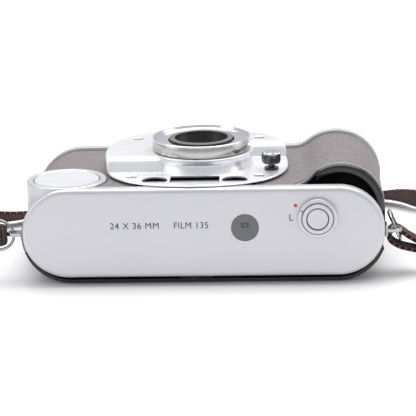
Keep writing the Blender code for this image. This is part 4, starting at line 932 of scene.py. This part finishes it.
def make_flash():
    at = (FLASH_X, FLASH_Y)
    wall = np.concatenate([
        [(12.1, 15.8), (14.59, 15.8), (14.59, 35.5)], arc(13.79, 35.5, 0.8, 0, 90, 7), [(12.9, 36.3)],
        [(12.35, 36.15), (12.1, 35.9)],
    ])
    housing = turned("flash_housing_ring", wall, at, steps=192, look=SATIN, slot="flash_housing",
        stands_for=["flash_housing"])
    back = np.array([(-58.8, -60), (0, -60), (0, 20), (-58.8, 20)])
    cut(housing, [cutter("flash_back", column(back, "Z", 0, 29.2))])
    glass = [(0, 34.9), (11.8, 34.9), (11.8, 35.9), (11.6, 36.12), (9.0, 36.16), (0, 36.2)]
    turned("flash_window_frosted", glass, at, steps=128, look=FROST, slot="flash_window",
        stands_for=["flash_window"])


# ---- top face -----------------------------------------------------------------------------
def lettering(name, words, x, z, height, look, body="body", wide=None):
    """Engraved lettering filled with paint, standing 0.02 above the top face."""
    letters = bpy.data.curves.new(name, "FONT")
    letters.body = words
    letters.extrude = 0.03
    letters.space_character = 1.08
    holder = bpy.data.objects.new(name, letters)
    bpy.context.scene.collection.objects.link(holder)
    bpy.context.view_layer.update()
    mesh = bpy.data.meshes.new_from_object(holder.evaluated_get(bpy.context.evaluated_depsgraph_get()))
    bpy.data.objects.remove(holder, do_unlink=True)
    flat = np.empty(len(mesh.vertices) * 3)
    mesh.vertices.foreach_get("co", flat)
    flat = flat.reshape(-1, 3)
    low, high = flat.min(0), flat.max(0)
    tall = height / (high[1] - low[1])
    along = tall if wide is None else wide / (high[0] - low[0])
    u = (flat[:, 0] - low[0]) * along
    v = (flat[:, 1] - low[1]) * tall - height / 2
    placed = np.stack([x + u, TOP_Y - 0.02 + flat[:, 2] * 0 - (flat[:, 2] > 0) * 0.02, z + v], -1) * MM
    mesh.vertices.foreach_set("co", placed.ravel())
    mesh.update()
    piece = bpy.data.objects.new(name, mesh)
    mesh.materials.clear()
    mesh.materials.append(look)
    bpy.context.scene.collection.objects.link(piece)
    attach(piece, body)
    return piece


def make_top():
    release = (RELEASE_X, RELEASE_Z)
    top = TOP_Y - 2.4
    lock = np.concatenate([
        [(5.8, TOP_Y - 0.05), (7.1, TOP_Y - 0.05), (7.1, TOP_Y - 1.3)], arc(6.6, TOP_Y - 1.55, 0.5, 0, -80,
            7), [(5.9, top + 0.35), (5.8, top + 0.45)],
    ])
    turned("lock_ring_satin", lock, release, axis="Y", steps=144, look=SATIN, slot="lock_ring",
        stands_for=["lock_ring"], body="lock")
    collar = np.concatenate([
        [(4.06, TOP_Y - 0.05), (5.5, TOP_Y - 0.05), (5.5, top + 0.1)], arc(5.1, top + 0.05, 0.4, 0, -90,
            6), [(4.3, top - 0.32), (4.06, top - 0.15)],
    ])
    turned("button_collar_satin", collar, release, axis="Y", steps=144, look=SATIN, slot="button",
        stands_for=["button_collar"])
    button = np.concatenate([
        [(0, TOP_Y + 1.6), (3.76, TOP_Y + 1.6), (3.76, top + 0.3)], arc(3.46, top + 0.28, 0.3, 0, -90,
            6), [(2.4, top + 0.04), (1.2, top + 0.1), (0, top + 0.12)],
    ])
    turned("shutter_button_satin", button, release, axis="Y", steps=128, look=SATIN, slot="button",
        stands_for=["shutter_button"], body="release")
    dash_turn = math.radians(180 - 27.5)
    along = np.array([math.cos(dash_turn), math.sin(dash_turn)])
    side = np.array([-along[1], along[0]])
    middle = np.array(release) + along * 6.35
    dash = np.stack([middle + along * a * 0.55 + side * b * 0.14 for a, b in ((-1, -1), (1, -1), (1, 1), (-1, 1))])
    surface("lock_index_dash", column(dash, "Y", TOP_Y - 1.9, TOP_Y - 2.07), look=INK, slot="lock_ring",
        body="lock")
    dot = [(0, TOP_Y + 0.1), (0.65, TOP_Y + 0.1), (0.65, TOP_Y - 0.02), (0, TOP_Y - 0.05)]
    turned("lock_dot_red", dot, (33.1, 29.45), axis="Y", steps=40, look=RED_MARK, slot="top_cover")
    lettering("lock_letter", "L", 30.9, 25.1, 2.4, INK)
    lettering("frame_size_words", "24 X 36 MM", -33.1, 22.6, 2.3, INK, wide=17.4)
    lettering("film_type_words", "FILM 135", -10.25, 22.6, 2.3, INK, wide=12.2)
    glass = [(0, TOP_Y + 0.5), (4.85, TOP_Y + 0.5), (4.85, TOP_Y + 0.12), (4.75, TOP_Y + 0.02), (0, TOP_Y + 0.02)]
    turned("display_window", glass, (LCD_X, LCD_Z), axis="Y", steps=128, look=LCD, slot="lcd",
        stands_for=["lcd_window"])
    body = np.array([(LCD_X - 1.35, LCD_Z + 0.0), (LCD_X + 1.35, LCD_Z + 0.0), (LCD_X + 1.35, LCD_Z + 1.8),
        (LCD_X - 1.35, LCD_Z + 1.8)])
    surface("display_sign", column(body, "Y", TOP_Y + 0.03, TOP_Y - 0.01), look=LCD_DARK, slot="lcd")
    mark = np.array([(LCD_X - 0.6, LCD_Z + 0.55), (LCD_X + 0.6, LCD_Z + 0.55), (LCD_X + 0.6, LCD_Z + 1.25),
        (LCD_X - 0.6, LCD_Z + 1.25)])
    surface("display_sign_light", column(mark, "Y", TOP_Y + 0.0, TOP_Y - 0.03), look=LCD, slot="lcd")


# ---- lugs, rings and loops ----------------------------------------------------------------
def make_lug(side, name):
    """Flat eyelet: rings between its outer outline and its hole, thinner at both edges."""
    turn = np.linspace(0, 2 * np.pi, 72, endpoint=False)
    c, s = np.cos(turn), np.sin(turn)
    to_root = np.minimum(3.0 / np.maximum(-c, 1e-6), 2.3 / np.maximum(np.abs(s), 1e-6))
    outer = np.where(c > 0, 2.3, to_root)
    half = 0.7
    layers = []
    for radius, z in ((outer - 0.2, -half), (outer, -half + 0.2), (outer, half - 0.2), (outer - 0.2, half),
        (1.6, half), (1.45, half - 0.2), (1.45, -half + 0.2), (1.6, -half)):
        radius = np.broadcast_to(radius, 72)
        layers.append(np.stack([side * (EYE_X + radius * c), LUG_Y + radius * s, np.full(72, LUG_Z + z)], -1))
    surface("eyelet_" + name, np.stack(layers), wrap_rows=True, look=WIRE, slot="chrome",
        stands_for=["lug_" + name])
    pad = box_points((0, 0.9), (LUG_Y - 3.1, LUG_Y + 3.1), (LUG_Z - 2.2, LUG_Z + 2.2), 0.3)
    pad[..., 0] = side * (65.35 + pad[..., 0])
    surface("eyelet_base_" + name, pad, look=WIRE, slot="chrome")


def make_ring(name, centre, across, along, body, stands_for):
    """Split ring of two turns: the wire follows a closed double helix round the ring's circle.

    The wire's middle is centre + (R + r sin(t / 2)) out + r cos(t / 2) normal, over two turns.
    """
    t = np.linspace(0, 4 * np.pi, 200, endpoint=False)[:, None]
    across, along = np.array(across), np.array(along)
    normal = np.cross(across, along)
    out = across * np.cos(t) + along * np.sin(t)
    helix = 0.45
    middle = np.array(centre) + out * (5.5 + helix * np.sin(t / 2)) + normal * helix * np.cos(t / 2)
    ahead = unit(np.roll(middle, -1, 0) - np.roll(middle, 1, 0))
    first = unit(np.cross(ahead, normal))
    second = np.cross(ahead, first)
    turn = np.linspace(0, 2 * np.pi, 12, endpoint=False)[None, :, None]
    skin = middle[:, None] + 0.42 * (first[:, None] * np.cos(turn) + second[:, None] * np.sin(turn))
    surface(name, skin, wrap_rows=True, look=WIRE, slot="chrome", stands_for=stands_for, body=body, crease=0)


def make_loop(name, path, level, plane, stands_for, body):
    """Strap end through a ring: the soft-edged section carried round the loop's side view."""
    path = smooth_route(path, 8)
    along = unit(np.gradient(path, axis=0))
    zero = np.zeros(len(path))
    if plane == "XY":
        middles = np.stack([path[:, 0], path[:, 1], zero + level], -1)
        ahead = np.stack([along[:, 0], along[:, 1], zero], -1)
        wide = np.stack([zero, zero, zero + 1], -1)
    else:
        middles = np.stack([path[:, 0], zero + level, path[:, 1]], -1)
        ahead = np.stack([along[:, 0], zero, along[:, 1]], -1)
        wide = np.stack([zero, zero + 1, zero], -1)
    rings, a = band_rings(middles, wide, np.cross(ahead, wide), 3.5, 1.0)
    uv, _ = strap_uv(middles, a)
    return surface(name, rings, look=STRAP, slot="strap", stands_for=stands_for, body=body, crease=0, uv=uv)


RIGHT_LOOP = [
    (79.6, 10.9), (77.0, 12.2), (74.1, 13.9), (71.7, 15.7), (70.2, 16.5), (68.8, 16.5), (67.6, 15.7),
    (67.1, 14.4), (67.3, 13.0), (68.2, 11.8), (69.8, 10.7), (71.6, 9.9), (74.1, 9.2), (78.6, 8.2),
]


def make_lugs():
    make_lug(-1, "left")
    make_lug(1, "right")
    down = np.array([0.4, 0.0, -0.917])
    down = tuple(down / np.linalg.norm(down))
    make_ring("split_ring_right", (EYE_X, LUG_Y + 5.5, LUG_Z), (0, 1, 0), down, "right_ring", ["ring_right"])
    make_ring("split_ring_left", (-EYE_X - 5.5, LUG_Y, LUG_Z - 0.6), (1, 0, 0), (0, 0, 1), "left_ring",
        ["ring_left"])
    gap = 2.95
    turn_x = -EYE_X - 11.0 + 4.75
    bend = arc(turn_x, LUG_Y, gap, 90, -90, 11)
    left = np.concatenate([[(turn_x - 6.3, LUG_Y + gap)], bend, [(turn_x - 6.3, LUG_Y - gap)]])
    make_loop("strap_end_left", left, LUG_Z - 0.6, "XY", ["strap_loop_left"], "left_ring")
    make_loop("strap_end_right", RIGHT_LOOP, LUG_Y + 6.0, "XZ", ["strap_loop_right"], "right_ring")


# ---- carried-over pieces ------------------------------------------------------------------
def dress_frame():
    """Finishes for the pieces that keep their own shape."""
    looks = {
        SHELL: "rear_frame back_door door_latch",
        WELL_BLACK: "body_core af_emitter af_sensor viewfinder_block shutter_housing",
        STEEL: "pressure_plate film_gate battery_spring battery_contact shutter_blade_a shutter_blade_b drive_motor",
        BLACK: "takeup_spool sprocket rewind_fork flash_capacitor",
        BRIGHT: "flash_reflector",
        BOARD: "circuit_board",
        BRASS: "tripod_bush",
        SLEEVE: "battery",
        SATIN: "battery_door",
        CLEAR: "eyepiece flash_tube",
        COATED: "rear_element",
    }
    for look, names in looks.items():
        for name in names.split():
            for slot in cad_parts[name].material_slots:
                slot.material = look


set_camera()
set_studio()
make_strap()
make_covers()
make_leather_pieces()
make_panel()
make_windows()
make_lens()
make_timer()
make_flash()
make_top()
make_lugs()
dress_frame()
